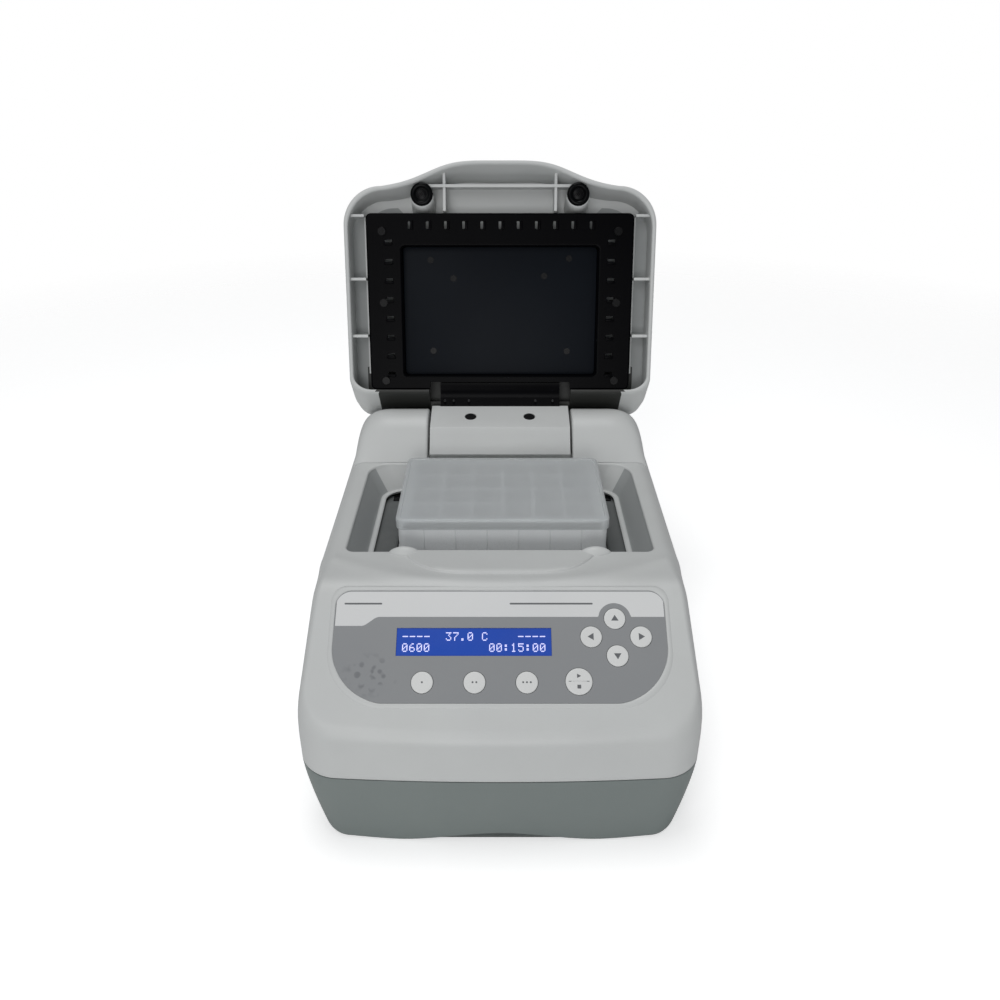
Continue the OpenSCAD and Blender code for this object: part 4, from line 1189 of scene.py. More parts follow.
@dataclass
class Panel:
    """The printed film on the sloped panel, its light strip and rules, and the lit display."""

    half_w: float = 85.0
    top_v: float = 27.4
    top_r: float = 8.0
    low_v: float = -28.8
    low_r: float = 27.4
    low_x: float = 30.0
    screen_x: tuple[float, float] = (-52.7, 26.2)
    screen_v: tuple[float, float] = (-7.3, 7.4)
    film_top: float = 0.32
    rows: tuple[str, str] = ("----  37.0 C    ----", "0600        00:15:00")

    def outline(self, g: float = 0.0) -> Points:
        """Outline of the film: small top corners and large lower ones.

        Args:
            g: Distance that it is drawn in.

        Returns:
            Points in panel coordinates, running anticlockwise.
        """
        w, q, r = self.half_w - g, self.top_r, self.low_x
        top, low = self.top_v - g - q, self.low_v + g + self.low_r
        upper = [arc(w - q, top, q, 0, 90, 14), arc(-w + q, top, q, 90, 180, 14)]
        return np.concatenate(upper + [arc(-w + r, low, r, 184, 262, 40), arc(w - r, low, r, 278, 356, 40)])

    def uv(self, p: Points) -> Points:
        """Panel coordinates in millimetres of points in the row frame."""
        y = p[:, 1] / MM - D.front_row_y - D.panel_y
        z = p[:, 2] / MM - D.panel_z
        return np.stack([p[:, 0] / MM, y * math.cos(D.panel_slope) + z * math.sin(D.panel_slope)], -1)

    def film(self) -> None:
        """The film with its holes for the keys and the window for the display."""
        skin = Skin("panel_film", in_panel).solid(flat_slab(self.outline(), -0.9, self.film_top, 0.12))
        place = Place("case", "overlay_film", ("control_overlay",))
        obj = skin.build(place, Finishes.FILM, sharp=30, uv=self.uv)
        tool = Skin("holes", in_panel)
        for key in KEYS:
            r = key.d / 2 + 0.22
            tool.solid(lathe([(r, -3.0), (r, 3.0)]) + [key.x, key.v, 0])
        (x0, x1), (v0, v1) = self.screen_x, self.screen_v
        tool.solid(box_points((x0, v0, -3), (x1, v1, 3)))
        cut(obj, tool, 30)

    def lip(self) -> None:
        """The low rounded lip of the case round the film: a ring lofted through outlines at seven places."""
        path = ((-0.05, -0.5), (-0.05, 0.16), (-0.4, 0.42), (-1.1, 0.5), (-1.9, 0.32), (-2.7, -0.12),
                (-2.9, -0.5))
        rings = np.stack([at_height(self.outline(g), w) for g, w in path])
        skin = Skin("panel_lip", in_panel).grid(rings, wrap_u=True)
        skin.build(Place("case", "case_plastic"), Finishes.CASE, sharp=60)

    def strip(self) -> None:
        """The light strip: columns from the top curve down to one that steps and rounds the up key."""
        x = np.linspace(-self.half_w + 0.5, self.half_w - 0.5, 320)
        edge = np.clip(np.abs(x) - (self.half_w - self.top_r), 0, self.top_r - 0.01)
        top = self.top_v - 0.5 - self.top_r + np.sqrt(np.maximum(self.top_r**2 - edge**2, 0)) - 0.02
        low = 8.4 + (13.2 - 8.4) * smooth((x + 71.0) / 9.0)
        up, r = KEYS[0], 8.4
        near = np.abs(x - up.x)
        bulge = np.where(near < r, up.v + np.sqrt(np.maximum(r**2 - near**2, 0)), 0)
        low = np.minimum(np.maximum(low, bulge), top - 0.05)
        lower, upper = np.stack([x, low], -1), np.stack([x, top], -1)
        t = np.linspace(0, 1, 5)[:, None, None]
        face = lower * (1 - t) + upper * t
        under, over = self.film_top - 0.1, self.film_top + 0.06
        skin = Skin("panel_light_strip", in_panel)
        skin.grid(np.insert(face, 2, over, axis=-1), wrap_v=False)
        skin.grid(prism(np.concatenate([lower, upper[::-1]]), 2, under, over))
        skin.grid(np.insert(face, 2, under, axis=-1)[::-1], wrap_v=False)
        skin.build(Place("case", "overlay_film"), Finishes.STRIP, sharp=30)

    def rules(self) -> None:
        """Thin dark rules on the light strip, one short and one long."""
        skin = Skin("panel_rules", in_panel)
        for x0, x1 in ((-80.5, -61.0), (5.0, 48.0)):
            bar = round_rect(x1 - x0, 0.9, 0.45, 5) + [(x0 + x1) / 2, 20.3]
            skin.solid(flat_slab(bar, self.film_top, self.film_top + 0.1))
        skin.build(Place("case", "overlay_film"), Finishes.INK, sharp=30)

    def screen(self) -> None:
        """The lit glass, a little below the film."""
        (x0, x1), (v0, v1) = self.screen_x, self.screen_v
        glass = round_rect(x1 - x0 - 0.1, v1 - v0 - 0.1, 0.3, 3, 20) + [(x0 + x1) / 2, (v0 + v1) / 2]
        skin = Skin("screen_glass", in_panel).solid(flat_slab(glass, -2.4, -0.25, 0.1))
        skin.build(Place("case", "lcd_blue", ("lcd_window",)), Finishes.SCREEN, sharp=30)

    def dots(self) -> list[tuple[float, float]]:
        """Places of the lit dots of two rows of characters, each five dots wide and seven high."""
        shapes = {
            "0": "0e11131519110e", "1": "040c040404040e", "3": "1f02040201110e", "5": "1f101e0101110e",
            "6": "0608101e11110e", "7": "1f010204080808", "-": "0000001f000000", ".": "00000000000c0c",
            ":": "000c0c000c0c00", "C": "0e11101010110e", " ": "00000000000000",
        }
        pitch_x, pitch_v, pitch_dot, left = 3.68, 0.64, 0.56, -49.4
        spots = []
        for row, v_top in zip(self.rows, (4.9, -0.9)):
            for col, char in enumerate(row):
                for line, bits in enumerate(bytes.fromhex(shapes[char])):
                    x, v = left + col * pitch_x, v_top - line * pitch_v
                    spots += [(x + bit * pitch_dot, v) for bit in range(5) if bits >> (4 - bit) & 1]
        return spots

    def pixels(self) -> None:
        """The lit dots as raised squares: one small box at each place."""
        at = np.array(self.dots())[:, None]
        box = box_points((-0.25, -0.28, -0.28), (0.25, 0.28, -0.22)).reshape(8, 3)
        quads = np.array([[4, 5, 6, 7], [0, 1, 5, 4], [1, 2, 6, 5], [2, 3, 7, 6], [3, 0, 4, 7], [3, 2, 1, 0]])
        faces = (np.arange(len(at)) * 8)[:, None, None] + quads
        skin = Skin("screen_dots", in_panel)
        skin.add(box + np.insert(at, 2, 0.0, axis=-1), faces.reshape(-1, 4).tolist())
        skin.build(Place("case", "lcd_blue"), Finishes.PIXEL, sharp=30)

    def build(self) -> None:
        """Builds every layer of the panel."""
        for layer in (self.film, self.lip, self.strip, self.rules, self.screen, self.pixels):
            layer()


@dataclass
class Keypad:
    """Eight round membrane keys with low domes and printed marks."""

    proud: float = 0.85
    skirt: float = -2.2
    shoulder: float = 0.42
    dome: float = 0.12

    def mark(self, key: Key) -> list[Points]:
        """Outlines of a key's mark.

        Args:
            key: The key.

        Returns:
            Closed outlines about the key's middle, in millimetres.
        """
        turn = {Mark.UP: 0, Mark.LEFT: 90, Mark.DOWN: 180, Mark.RIGHT: 270}
        if key.mark in turn:
            a = math.radians(turn[key.mark])
            tri = np.array([[-1.9, -1.2], [1.9, -1.2], [0.0, 1.9]])
            return [tri @ np.array([[math.cos(a), math.sin(a)], [-math.sin(a), math.cos(a)]])]
        if key.mark is Mark.BAR:
            arrow = np.array([[-0.9, 1.6], [-0.9, 3.8], [1.1, 2.7]])
            return [round_rect(10.4, 0.35, 0.17, 3, 6), round_rect(1.9, 1.9, 0.2, 3) + [0, -2.7], arrow]
        count = {Mark.ONE: 1, Mark.TWO: 2, Mark.THREE: 3}[key.mark]
        return [round_rect(1.0, 1.0, 0.5, 4) + [1.9 * (i - (count - 1) / 2), 0] for i in range(count)]

    def build(self) -> None:
        """Builds each key on its own body: skirt, round shoulder and parabolic dome, with a printed mark."""
        low = self.proud - self.shoulder
        for key in KEYS:
            r = key.d / 2
            crown = lambda q: self.proud + self.dome * (1 - (q / r) ** 2)
            profile = [(0.02, self.skirt), (r - 0.3, self.skirt), (r, self.skirt + 0.3), (r, low)]
            for a in np.radians([25, 50, 75]):
                profile.append((r - 0.45 * (1 - math.cos(a)), low + self.shoulder * math.sin(a)))
            profile += [(q * r, crown(q * r)) for q in (0.9, 0.8, 0.6, 0.4, 0.2)] + [(0.02, crown(0))]
            at = [key.x, key.v, 0]
            cap = Skin(key.body + "_cap", in_panel).solid(lathe(profile, 64) + at)
            cap.build(Place(key.body, "key_plastic", (key.body,)), Finishes.KEY, sharp=45)
            ink = Skin(key.body + "_mark", in_panel)
            for shape in self.mark(key):
                foot = at_height(shape, crown(np.linalg.norm(shape, axis=1)) - 0.05)
                ink.solid(np.stack([foot, foot + [0, 0, 0.08]]) + at)
            ink.build(Place(key.body, "key_plastic"), Finishes.INK, sharp=30)


# ---------------------------------------------------------------- lid
@dataclass
class Lid:
    """The lid, drawn closed: a shell with a raked tongue in front, ribs, bumpers, inner cover and plate."""

    half_w: float = 102.5
    back_y: float = 226.0
    rim_z: float = 121.0
    top_z: float = 170.0
    edge_r: float = 13.0
    corner_r: float = 25.0
    wall: float = 2.8
    liner_z: float = 141.0
    # Half width of the painted shade on the rear skirt and on the liner behind the cover.
    painted_shade_half_w: float = 84.0
    mid_y: float = 140.0
    side_y: float = 74.3
    tongue: float = 18.5
    tongue_half: float = 52.0
    tongue_power: float = 4.5
    rake: float = 23.7
    rake_h: float = 45.8
    rake_power: float = 1.15
    crown: float = 0.9
    rib_t: float = 1.8
    bumper: tuple[float, float] = (51.0, 77.0)
    bumper_in: float = 0.9
    cover_z: float = 125.0
    plate_z: float = 133.0
    plate_screws: tuple[tuple[float, float], ...] = (
        (-46.7, 118.0), (46.4, 117.0), (-31.4, 130.0), (29.8, 128.4), (-45.8, 178.3), (46.0, 178.6))

    def front_at(self, x: Points) -> Points:
        """The rim's front, counted from the case's front: a broad tongue that falls back by a power curve."""
        return self.side_y - self.tongue / (1 + (np.abs(x) / self.tongue_half) ** self.tongue_power)

    def lean_at(self, x: Points, z: float) -> Points:
        """How far the front wall has leaned back: a power of the height, strongest in the middle."""
        up = max(z - D.deck_z, 0.0) / self.rake_h
        return self.rake * up**self.rake_power * (1 - 0.5 * smooth(np.abs(x) / 92))

    def plan(self) -> Points:
        """Outline of the rim: tongue, corner arcs, sides and rear corners, at fixed columns."""
        w, r, rf = self.half_w, self.edge_r, self.corner_r
        x = np.linspace(0, w - rf, 46)
        front = np.stack([x, self.front_at(x)], -1)
        turn = arc(w - rf, front[-1, 1] + rf, rf, -86, 0, 20)
        side = np.stack([np.full(24, w), np.linspace(turn[-1, 1], self.back_y - r, 24)], -1)
        back = arc(w - r, self.back_y - r, r, 0, 90, 14)
        rear = np.stack([np.linspace(w - r, 0, 30), np.full(30, self.back_y)], -1)
        return both_halves(np.concatenate([front, turn, side[1:], back[1:], rear[1:]]))

    def rear_at(self, z: float) -> float:
        """Rear limit at a height: the skirt leans back over the hinge in two steps, then stands upright."""
        return float(np.interp(z, [121.0, 138.8, 152.0], [206.0, 220.6, 226.0]))

    def ring(self, z: float, turn: float = 0.0, g: float = 0.0, shrink: float = 0.0,
             raised: float = 0.0) -> Points:
        """One ring of the shell.

        Args:
            z: Height of the wall, ignored where the edge has started to turn.
            turn: Angle of the top edge's rounding, 0 on the wall and a right angle on the top.
            g: Distance inside the outer surface.
            shrink: Share by which a ring of the top is drawn in to the middle.
            raised: Height added to the ring.

        Returns:
            The ring's points in case millimetres with the lid closed.
        """
        plan, r, mid, back = self.plan(), self.edge_r, self.mid_y, self.back_y
        height = z if turn == 0 else self.top_z - r + (r - g) * math.sin(turn)
        w = self.half_w - r + (r - g) * math.cos(turn)
        rear = (self.rear_at(height) if turn == 0 else back - r + r * math.cos(turn)) - g * math.cos(turn)
        lean = self.lean_at(plan[:, 0], height) + 10.0 * (1 - math.cos(turn)) + g * math.cos(turn)
        reach = mid - np.minimum(self.front_at(plan[:, 0]), mid - 20)
        behind = mid + (plan[:, 1] - mid) * (rear - mid) / (back - mid)
        before = mid - (mid - plan[:, 1]) * (1 - lean / reach)
        xy = np.stack([plan[:, 0] * w / self.half_w, np.where(plan[:, 1] > mid, behind, before)], -1)
        centre = np.array([0.0, 150.0])
        return at_height(centre + (xy - centre) * (1 - shrink), height + raised)

    def shell(self) -> None:
        """The shell as one closed loft, inside then outside, with the strap's passage cut through it."""
        top = [(k, self.crown * (1 - (1 - k) ** 2)) for k in (0.03, 0.1, 0.25, 0.45, 0.7, 0.9, 0.96)]
        rim = ((2.75, 121.9), (2.45, 121.35), (1.9, 121.05), (0.9, 121.05), (0.35, 121.35), (0.05, 121.9))
        walls, flat = np.linspace(123.0, 156.5, 15), math.pi / 2
        rings = [self.ring(0, flat, self.wall, k, up) for k, up in top[::-1]]
        rings += [self.ring(0, a, self.wall) for a in np.radians([90, 75, 60, 45, 30, 15])]
        rings += [self.ring(z, 0, self.wall) for z in np.linspace(156.5, 123.0, 15)]
        rings += [self.ring(z, 0, g) for g, z in rim] + [self.ring(z) for z in walls]
        rings += [self.ring(0, a) for a in np.radians([8, 16, 24, 32, 40, 48, 56, 64, 72, 80, 90])]
        rings += [self.ring(0, flat, 0.0, k, up) for k, up in top]
        x, y, z = np.moveaxis(middles(np.stack(rings)), -1, 0)
        skin = Skin("lid_shell_skin", in_lid).solid(np.stack(rings))
        # Painted shade: faces of the rear skirt near the hinge take the near-black finish that stands in for
        # the shade under the open lid.
        skin.choose((y > 200) & (z < 151) & (np.abs(x) < self.painted_shade_half_w))
        obj = skin.build(Place("lid", "case_plastic", ("lid_shell",)), Finishes.CASE, Finishes.SKIRT_PAINTED_SHADE)
        passage = box_points((-48.5, 196, 116), (48.5, 240, 133.5))
        cut(obj, Skin("passage", in_lid).solid(passage, slot=1), 38)

    def liner(self) -> None:
        """The plate that closes the lid's hollow a little way behind the rim."""
        z, shares = self.liner_z, (0.9, 0.6, 0.3, 0.08)
        top = [self.ring(z + 2, 0, 1.6, k) for k in shares]
        rim = [self.ring(z + 2, 0, 1.2), self.ring(z, 0, 1.2)]
        stack = np.stack(top + rim + [self.ring(z, 0, 1.6, k) for k in shares[::-1]])
        x, y = np.moveaxis(middles(stack), -1, 0)[:2]
        # Painted shade: the liner behind the cover takes the near-black skirt shade, and its deep sides take
        # the darker bay shade.
        behind, deep = (np.abs(x) < self.painted_shade_half_w) & (y > 185), (np.abs(x) > 60) & (y > 88)
        skin = Skin("lid_liner", in_lid).solid(stack).choose(np.where(behind, 2, deep))
        skin.build(Place("lid", "case_plastic"), Finishes.CASE, Finishes.BAY_PAINTED_SHADE, Finishes.SKIRT_PAINTED_SHADE)

    def blade(self, skin: Skin, outline: Points, axis: int, at: float) -> None:
        """Adds a thin rib: an outline swept over its thickness, with slim bevels at both faces.

        Args:
            skin: Skin that takes it.
            outline: Outline in the other two axes.
            axis: Axis that it is thin along.
            at: Middle of its thickness.
        """
        half, b = self.rib_t / 2, 0.25
        steps = ((-half, b), (b - half, 0.0), (half - b, 0.0), (half, b))
        rings = [prism(drawn_in(outline, pull), axis, at + off) for off, pull in steps]
        skin.solid(np.concatenate(rings))

    def ribs(self) -> None:
        """The stiffening ribs along the sides and behind the front."""
        skin = Skin("lid_ribs", in_lid)
        w, top, x = self.half_w, self.liner_z + 1.2, 36.5
        for side in SIDES:
            for y, low, high in ((90.0, 3.5, 6.1), (130.5, 1.3, 1.3), (168.0, 1.3, 1.3)):
                outline = np.array([[w - 13, 125.0], [w - low, 125.0], [w - high, top], [w - 13, top]])
                self.blade(skin, outline * [side, 1], 1, y)
            rail = np.array([[90.0, 134.0], [194.0, 134.0], [194.0, top], [90.0, top]])
            self.blade(skin, rail, 0, side * (w - 12.8))
            front = [[self.front_at(x) + self.lean_at(x, h) + 2.1, h] for h in np.linspace(125.5, top, 8)]
            self.blade(skin, np.array(front + [[92.0, top], [87.0, 125.5]]), 0, side * x)
        self.blade(skin, np.array([[-54.0, 125.0], [54.0, 125.0], [50.0, 139.0], [-50.0, 139.0]]), 1, 71.5)
        skin.build(Place("lid", "case_plastic"), Finishes.CASE, sharp=30)

    def bosses(self) -> None:
        """Two leaning posts that carry the bumpers: circles that shift with the front wall's lean."""
        skin = Skin("lid_bosses", in_lid)
        (bx, by), a, top = self.bumper, circle(48), self.liner_z + 1.0
        turned = np.stack([np.cos(a), np.sin(a)], -1)
        steps = ((123.2, 6.9), (123.5, 7.3), (124.0, 7.5), (130.0, 7.6), (136.0, 7.8), (top, 8.2))
        for side in SIDES:
            plan = lambda z, r: [side * bx, by + self.lean_at(bx, z)] + r * turned
            skin.solid(np.stack([at_height(plan(z, r), z) for z, r in steps]))
        skin.build(Place("lid", "case_plastic"), Finishes.CASE)

    def bumpers(self) -> None:
        """Glossy rubber bumpers with a round shoulder and a screw well."""
        pads, screws = Skin("lid_bumper_pads", in_lid), Skin("lid_bumper_screws", in_lid)
        head = [(0.05, 1.2), (3.2, 1.2), (3.4, 0.95), (3.3, 0.6), (2.7, 0.38), (1.3, 0.3), (1.2, 0.75)]
        profile = [(1.4, 1.0), (4.1, 0.9), (4.3, 0.3), (4.6, -0.35)]
        for a in np.radians(np.linspace(0, 90, 9)):
            profile.append((5.4 + 1.95 * math.sin(a), -0.6 + 1.6 * (1 - math.cos(a))))
        profile += [(7.4, 2.4), (7.35, 2.62), (7.0, 2.7), (1.4, 2.7)]
        for side in SIDES:
            at = [side * self.bumper[0], self.bumper[1], self.rim_z + self.bumper_in]
            pads.grid(lathe(profile, 64) + at, wrap_u=True)
            screws.solid(lathe(head + [(0.05, 0.75)], 32) + at)
        pads.build(Place("lid", "rubber_black", ("lid_bumpers",)), Finishes.RUBBER, sharp=50)
        screws.build(Place("lid", "dark_screw", ("bumper_screws",)), Finishes.COVER_SCREW)

    def cover(self) -> None:
        """The black inner cover: a closed ring loft over its edge and face, down the recess and back."""
        outer = lambda k: round_rect(177 - 2 * k, 115.5 - 2 * k, 3.5 - min(k, 3), 8, 10) + [0, 146.25]
        inner = lambda k: round_rect(131 + 2 * k, 85.5 + 2 * k, 2.5 + max(k, -1.5), 8, 10) + [0, D.bay_y]
        z = self.cover_z
        edge = ((0.3, 2.4), (0, 2.0), (0, 0.6), (0.2, 0.18), (0.7, 0))
        recess = ((0.9, 0), (0.35, 0.2), (0.0, 0.8), (0.0, 1.2), (-0.15, 7.6), (-0.2, 8.1), (-0.6, 9.2),
                  (-2.5, 9.6), (-2.5, 11.6), (2.2, 11.6), (2.2, 2.4))
        rings = [at_height(outer(k), z + up) for k, up in edge]
        face = [outer(0.8) * (1 - t) + inner(0.9) * t for t in (0.02, 0.06, 0.5, 0.94, 0.98)]
        rings += [at_height(flat, z) for flat in face]
        rings += [at_height(inner(k), z + up) for k, up in recess]
        skin = Skin("lid_cover_skin", in_lid).grid(np.stack(rings), wrap_u=True)
        obj = skin.build(Place("lid", "cover_black", ("lid_inner_cover",)), Finishes.COVER, sharp=35)
        tool, hood = Skin("slots", in_lid), Skin("lid_louvres", in_lid)
        spots = [(12.0 * i, 96.0, 1.8, 5.0, 1.9, 0.0) for i in range(-5, 6)]
        spots += [(side * 74.0, 106.0 + 12.4 * j, 5.0, 1.8, 0.0, 1.9) for side in SIDES for j in range(8)]
        for x, y, w, d, sx, sy in spots:
            tool.solid(prism(round_rect(w, d, 0.6, 4) + [x, y], 2, z - 1, z + 4))
            lip = soft_slab(1.9 if sx else w + 1.0, 1.9 if sy else d + 1.0, 0.6, -0.9, 0.4, 0.5, 3)
            hood.solid(lip + [x + sx, y + sy, z])
        for side in SIDES:
            for y in (100.0, 146.0, 198.0):
                tool.solid(lathe([(1.7, -1), (1.7, 4)], 24) + [side * 78.0, y, z])
        tool.solid(box_points((-48, 199, z - 1), (48, 209, z + 5)))
        cut(obj, tool, 35)
        hood.build(Place("lid", "cover_black"), Finishes.COVER, sharp=50)

    def plate(self) -> None:
        """The heater plate at the bottom of the recess, with its sunk screws."""
        slab = soft_slab(130.4, 84.9, 2.4, self.plate_z, self.plate_z + 1.6, 0.3) + [0, D.bay_y, 0]
        Skin("lid_heater_skin", in_lid).solid(slab).build(
            Place("lid", "lid_heater", ("lid_heater_plate",)), Finishes.HEATER)
        screws = Skin("lid_plate_screws", in_lid)
        head = ((0.05, 0.62), (0.7, 0.62), (0.85, 0.3), (1.5, 0.15), (1.95, 0.0), (2.1, -0.18), (2.1, -0.7),
                (0.05, -0.7))
        profile = [(r, self.plate_z + h * 0.6) for r, h in head]
        for x, y in self.plate_screws:
            screws.solid(lathe(profile, 24) + [x, y, 0])
        screws.build(Place("lid", "dark_screw"), Finishes.COVER_SCREW)

    def build(self) -> None:
        """Builds every piece of the lid."""
        for piece in (self.shell, self.liner, self.ribs, self.bosses, self.bumpers, self.cover, self.plate):
            piece()
        soften("cover_screws", "lid", Finishes.COVER_SCREW, "dark_screw", 0.25, 2)


@dataclass
class Knuckle:
    """The middle of the hinge: the turning cover with its flat, its screws, and the strap with its rivets."""

    rivets: tuple[float, ...] = (-38.0, -32.0, -21.5, 24.5, 36.4)
    rivet_r: float = 0.95
    strap_y: float = 212.0
    strap_z: float = 126.2

    def build(self) -> None:
        """Rounds the edges of the hinge's pieces and adds the rivets."""
        soften("knuckle_cover", "lid", Finishes.CASE, "case_plastic", 0.7, 3)
        soften("knuckle_screws", "lid", Finishes.SCREW, "dark_screw", 0.3, 2)
        soften("hinge_strap", "lid", Finishes.COVER, "black_plastic", 0.4, 2)
        r = self.rivet_r
        dome = [(0.05, 0.5), (r, 0.5), (r, 0.1)]
        dome += [(r * math.cos(a), -0.45 * math.sin(a)) for a in np.radians([20, 45, 70, 88])]
        profile = [(q, self.strap_z + h) for q, h in dome]
        skin = Skin("strap_rivets", in_lid)
        for x in self.rivets:
            skin.solid(lathe(profile, 24) + [x, self.strap_y, 0])
        skin.build(Place("lid", "black_plastic"), Finishes.SCREW)


# ---------------------------------------------------------------- sample and bay
@dataclass
class Microplate:
    """The milky deep-well plate and its loose lid."""

    foot: tuple[float, float] = (127.8, 85.5)
    body: tuple[float, float] = (119.6, 78.6)
    lid: tuple[float, float] = (121.6, 80.8)
    well: float = 16.0
    pitch: float = 18.0
    z0: float = 89.0
    top: float = 130.0
    lid_z: tuple[float, float] = (125.0, 131.6)
    lid_t: float = 1.1

    def plate(self) -> None:
        """The plate: a stepped box with round corners, its wells and its hollow underside cut out."""
        z0, top = self.z0, self.top
        foot = ((0.8, 3.4, z0), (0, 3.8, z0 + 0.5), (0, 3.8, z0 + 6.4), (0.5, 3.6, z0 + 6.9),
                (1.5, 3.2, z0 + 7.1))
        body = ((-1.0, 4.3, z0 + 7.2), (-0.3, 4.1, z0 + 7.5), (0, 4.0, z0 + 8.2), (0, 4.0, top - 0.6),
                (0.4, 3.8, top - 0.15), (1.1, 3.5, top))
        well = ((0.5, z0 + 10.2), (0.8, z0 + 10.6), (0.94, z0 + 12.0), (0.965, z0 + 16.0), (1.0, top + 2.0))
        rings = np.concatenate([boxes(self.foot, foot), boxes(self.body, body)])
        place = Place("microplate", "clear_plastic", ("deep_well_plate",))
        obj = Skin("plate_body", in_table).solid(rings).build(place, Finishes.CLEAR, sharp=35)
        tool, w = Skin("wells", in_table), self.well
        rings = np.stack([at_height(round_rect(w * k, w * k, 2.6 * k, 8, 10), z) for k, z in well])
        for i in range(6):
            for j in range(4):
                tool.solid(rings + [self.pitch * (i - 2.5), self.pitch * (j - 1.5), 0])
        under = boxes(self.foot, ((3.2, 2.4, z0 - 1), (3.4, 2.2, z0 + 6.0)))
        tool.solid(np.concatenate([under, boxes(self.body, ((3.0, 2.4, z0 + 8.6),))]))
        cut(obj, tool, 32)

    def ribs(self) -> None:
        """Slim upright ribs at the well centres, on the long sides."""
        skin = Skin("plate_ribs", in_table)
        bar = soft_slab(0.6, 0.9, 0.28, self.z0 + 7.0, self.lid_z[0] - 0.6, 0.3, 4)
        for side in SIDES:
            for i in range(6):
                skin.solid(bar + [self.pitch * (i - 2.5), side * (self.body[1] / 2 + 0.05), 0])
        skin.build(Place("microplate", "clear_plastic"), Finishes.CLEAR, sharp=50)

    def cover(self) -> None:
        """The loose lid: a thin cap with a skirt, a rounded edge and a shallow step round its top."""
        (w, d), (z0, z1), t = self.lid, self.lid_z, self.lid_t
        share = lambda k, r, z: at_height(round_rect(w * k, d * k, r, 8, 10), z)
        inside = ((0.6, 3.4, z1 - t), (0, 3.6, z1 - t - 0.5), (0, 3.6, z0 + 0.2), (-0.4, 3.7, z0))
        outside = ((0.4, 4.4, z0), (0, 4.6, z0 + 0.25), (0, 4.6, z1 - 1.0), (0.3, 4.5, z1 - 0.45),
                   (1.1, 4.2, z1 - 0.08), (2.0, 4.0, z1), (5.0, 3.2, z1), (5.5, 3.0, z1 - 0.35))
        rings = np.concatenate([
            [share(k, 4 * k, z1 - t) for k in (0.1, 0.5, 0.9)],
            boxes((w - 2 * t, d - 2 * t), inside), boxes(self.lid, outside),
            [share(k, r, z1 - 0.35) for k, r in ((0.8, 3.0), (0.4, 2.0), (0.1, 1.0))],
        ])
        place = Place("microplate_lid", "clear_plastic", ("plate_lid",))
        Skin("plate_cap", in_table).solid(rings).build(place, Finishes.CLEAR_LID)

    def build(self) -> None:
        """Builds the plate, its ribs and its lid."""
        self.plate()
        self.ribs()
        self.cover()


@dataclass
class Bay:
    """What shows down in the bay: the heating block, its flange and its dark pads."""

    pad_x: tuple[float, float] = (65.6, 72.2)
    flange: tuple[float, float] = (156.0, 94.6)
    flange_r: float = 12.0
    nest: tuple[float, float] = (129.0, 86.8)
    nest_r: float = 4.5

    def build(self) -> None:
        """Rounds the block's edges and adds the flange and the pads."""
        soften("heat_block", "table", Finishes.BLOCK, "block_alu", 0.8, 3)
        fr, nr = self.flange_r, self.nest_r
        edge = boxes(self.flange, ((0, fr, 98.9), (0, fr, 99.6), (0.4, fr, 99.8)), 10, 6)
        hole = boxes(self.nest, ((-0.9, nr, 99.8), (-0.2, nr, 99.6), (0, nr, 99.3), (0, nr, 98.9)), 10, 6)
        flange = Skin("block_flange", in_table).grid(np.concatenate([edge, hole]), wrap_u=True)
        flange.build(Place("table", "block_alu"), Finishes.BLOCK)
        pads = Skin("block_pads", in_table)
        mid, wide = sum(self.pad_x) / 2, self.pad_x[1] - self.pad_x[0]
        for side in SIDES:
            for y, d in ((42.6, 6.4), (-42.6, 5.6)):
                pads.solid(soft_slab(wide, d, 0.8, 99.4, 100.5, 0.4, 4) + [side * mid, y, 0])
        pads.build(Place("table", "black_plastic"), Finishes.RUBBER, sharp=50)


@dataclass
class Rear:
    """Sockets, switch and fan at the rear, and the feet, stops and screws underneath."""

    def build(self) -> None:
        """Rounds the edges of each."""
        soften("power_inlet", "case", Finishes.BLACK, "black_plastic", 0.5, 3)
        soften("switch_housing", "case", Finishes.BLACK, "black_plastic", 0.4, 3)
        soften("switch_rocker", "rocker", Finishes.RUBBER, "black_plastic", 0.6, 3)
        soften("fan_frame", "case", Finishes.BLACK, "black_plastic", 0.5, 2)
        soften("fan_rotor", "fan", Finishes.BLACK, "black_plastic", 0.3, 2)
        soften("lid_stops", "case", Finishes.FOOT, "rubber_black", 0.8, 3)
        soften("rubber_feet", "case", Finishes.FOOT, "rubber_black", 1.0, 3)
        soften("case_screws", "case", Finishes.SCREW, "dark_screw", 0.3, 2)


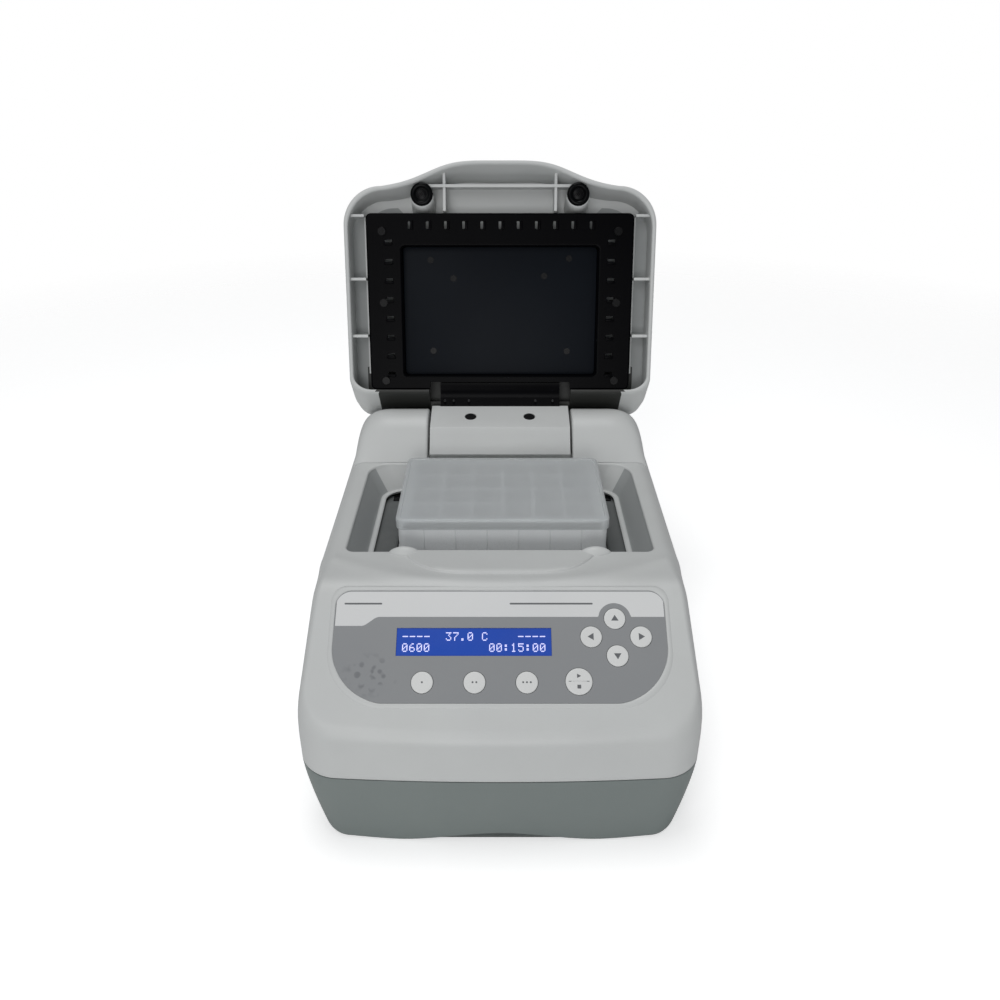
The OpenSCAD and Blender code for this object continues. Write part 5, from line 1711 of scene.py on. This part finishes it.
# ---------------------------------------------------------------- stage
@dataclass
class Stage:
    """Floor, backdrop light and lamps of a plain studio, and the camera."""

    camera_at: tuple[float, float, float] = (0.0, -0.46805, 0.375)
    pitch: float = 61.2
    focal: float = 860.0
    lift: float = 0.5
    reach: float = 1.3
    fade: tuple[float, float] = (0.55, 1.25)

    def floor(self) -> None:
        """A wide pale floor that glows a little and fades out far away, so that only the shadow shows."""
        line = np.linspace(-self.reach, self.reach, 9)
        x, y = np.meshgrid(line, line, indexing="ij")
        paper = Skin("floor", np.asarray).grid(np.stack([x, y, np.zeros_like(x)], -1), wrap_v=False)
        obj = linked("floor", paper.mesh())
        material = bpy.data.materials.new("floor_paper")
        material.use_nodes = True
        t = Tree(material.node_tree)
        near, far = self.fade
        away = t.node("VectorMath", {0: t.place}, operation="LENGTH").outputs["Value"]
        gone = t.math("DIVIDE", t.math("SUBTRACT", away, near), far - near)
        fade = t.math("SUBTRACT", 1.0, gone, clamp=True)
        matt = {"Base Color": (0.9, 0.9, 0.9, 1), "Roughness": 0.85}
        plain = t.node("BsdfPrincipled", {**matt, "Specular IOR Level": 0.1, "Alpha": fade}).outputs[0]
        solid = t.node("BsdfPrincipled", matt).outputs[0]
        glow = t.node("Emission", {"Strength": self.lift}).outputs[0]
        lit = t.node("AddShader", {0: solid, 1: glow}).outputs[0]
        seen = t.mixed(fade, t.node("BsdfTransparent").outputs[0], lit)
        t.node("OutputMaterial", {"Surface": t.mixed(t.camera_ray, plain, seen)})
        obj.data.materials.append(material)

    def world(self) -> None:
        """Even soft light all round, and plain white where the camera sees past the object."""
        world = bpy.data.worlds.new("studio")
        bpy.context.scene.world = world
        world.use_nodes = True
        t = Tree(world.node_tree)
        soft = t.node("Background", {"Color": (0.96, 0.98, 1.0, 1), "Strength": 0.27}).outputs[0]
        white = t.node("Background", {"Color": (1, 1, 1, 1), "Strength": 1.0}).outputs[0]
        t.node("OutputWorld", {"Surface": t.mixed(t.camera_ray, soft, white)})

    def lamp(self, name: str, at: Sequence[float], to: Sequence[float], size: float, watts: float) -> None:
        """A soft square lamp at a place, aimed at another.

        Args:
            name: Name of the lamp.
            at: Its place.
            to: The place that it is aimed at.
            size: Length of its side in metres.
            watts: Its power.
        """
        data = bpy.data.lights.new(name, "AREA")
        data.size, data.energy = size, watts
        obj = linked(name, data)
        obj.location = at
        obj.rotation_euler = (Vector(to) - Vector(at)).to_track_quat("-Z", "Y").to_euler()

    def camera(self) -> None:
        """The camera: a focal length in pixels of a picture 1000 wide, on a 36 mm sensor."""
        data = bpy.data.cameras.new("view")
        data.sensor_width, data.lens = 36.0, 36.0 * self.focal / 1000.0
        data.clip_start, data.clip_end = 0.01, 50.0
        obj = linked("view", data)
        obj.location = self.camera_at
        obj.rotation_euler = (math.radians(self.pitch), 0, 0)
        bpy.context.scene.camera = obj

    def build(self) -> None:
        """Sets the whole stage and the plain view transform."""
        self.floor()
        self.world()
        self.camera()
        self.lamp("front", (-0.6, -1.7, 1.45), (0, 0, 0.1), 0.9, 7.6)
        self.lamp("low", (-0.1, -2.0, 0.38), (0, 0, 0.12), 0.8, 8.5)
        self.lamp("top", (-0.1, 0.12, 1.5), (0, -0.04, 0.1), 0.7, 6.9)
        bpy.context.scene.view_settings.view_transform = "Standard"


# ---------------------------------------------------------------- whole object
NODE_FINISH: dict[Finish, str] = {
    Finishes.WOOL: "block_insulator lid_insulation",
    Finishes.SCREW: "block_screws bumper_screws case_screws cover_screws knuckle_screws",
    Finishes.STEEL: "chassis_plate crank_bearings crank_shaft hinge_brackets hinge_shaft idler_bearings "
                    "power_supply table_bearings idler_crank_1 idler_crank_2 idler_crank_3 idler_crank_4",
    Finishes.BRASS: "chassis_posts crank_counterweight",
    Finishes.FILM: "control_overlay",
    Finishes.CLEAR: "deep_well_plate",
    Finishes.MOTOR: "drive_motor",
    Finishes.BLACK: "fan_frame fan_rotor hinge_strap power_inlet switch_housing switch_rocker",
    Finishes.BLOCK: "heat_block",
    Finishes.FILM_HEATER: "heater_film",
    Finishes.BOARD: "key_board lcd_module main_board",
    Finishes.CASE: "knuckle_cover lid_shell",
    Finishes.SCREEN: "lcd_window",
    Finishes.RUBBER: "lid_bumpers",
    Finishes.HEATER: "lid_heater_plate",
    Finishes.COVER: "lid_inner_cover",
    Finishes.FOOT: "lid_stops rubber_feet",
    Finishes.CLEAR_LID: "plate_lid",
    Finishes.TABLE: "shake_table",
    Finishes.PROBE: "temperature_probe",
}


def dress_nodes() -> None:
    """Gives every CAD node its finish, or the keys' where it is not listed, in all its material slots."""
    chosen = {name: finish for finish, names in NODE_FINISH.items() for name in names.split()}
    for name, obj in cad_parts.items():
        finish = chosen.get(name, Finishes.KEY)
        if not obj.data.materials:
            obj.data.materials.append(None)
        for held in obj.material_slots:
            held.material = finish.material()


def main() -> None:
    """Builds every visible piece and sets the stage."""
    logging.basicConfig(level=logging.INFO, format="%(name)s %(message)s")
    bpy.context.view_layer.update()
    dress_nodes()
    CaseShell(key_places=tuple((k.x, k.v, k.d / 2) for k in KEYS)).build()
    for part in (BaseTub, HingeHousings, RestDomes, Panel, Keypad, Lid, Knuckle, Microplate, Bay, Rear):
        part().build()
    Stage().build()


if __name__ == "__main__":
    main()
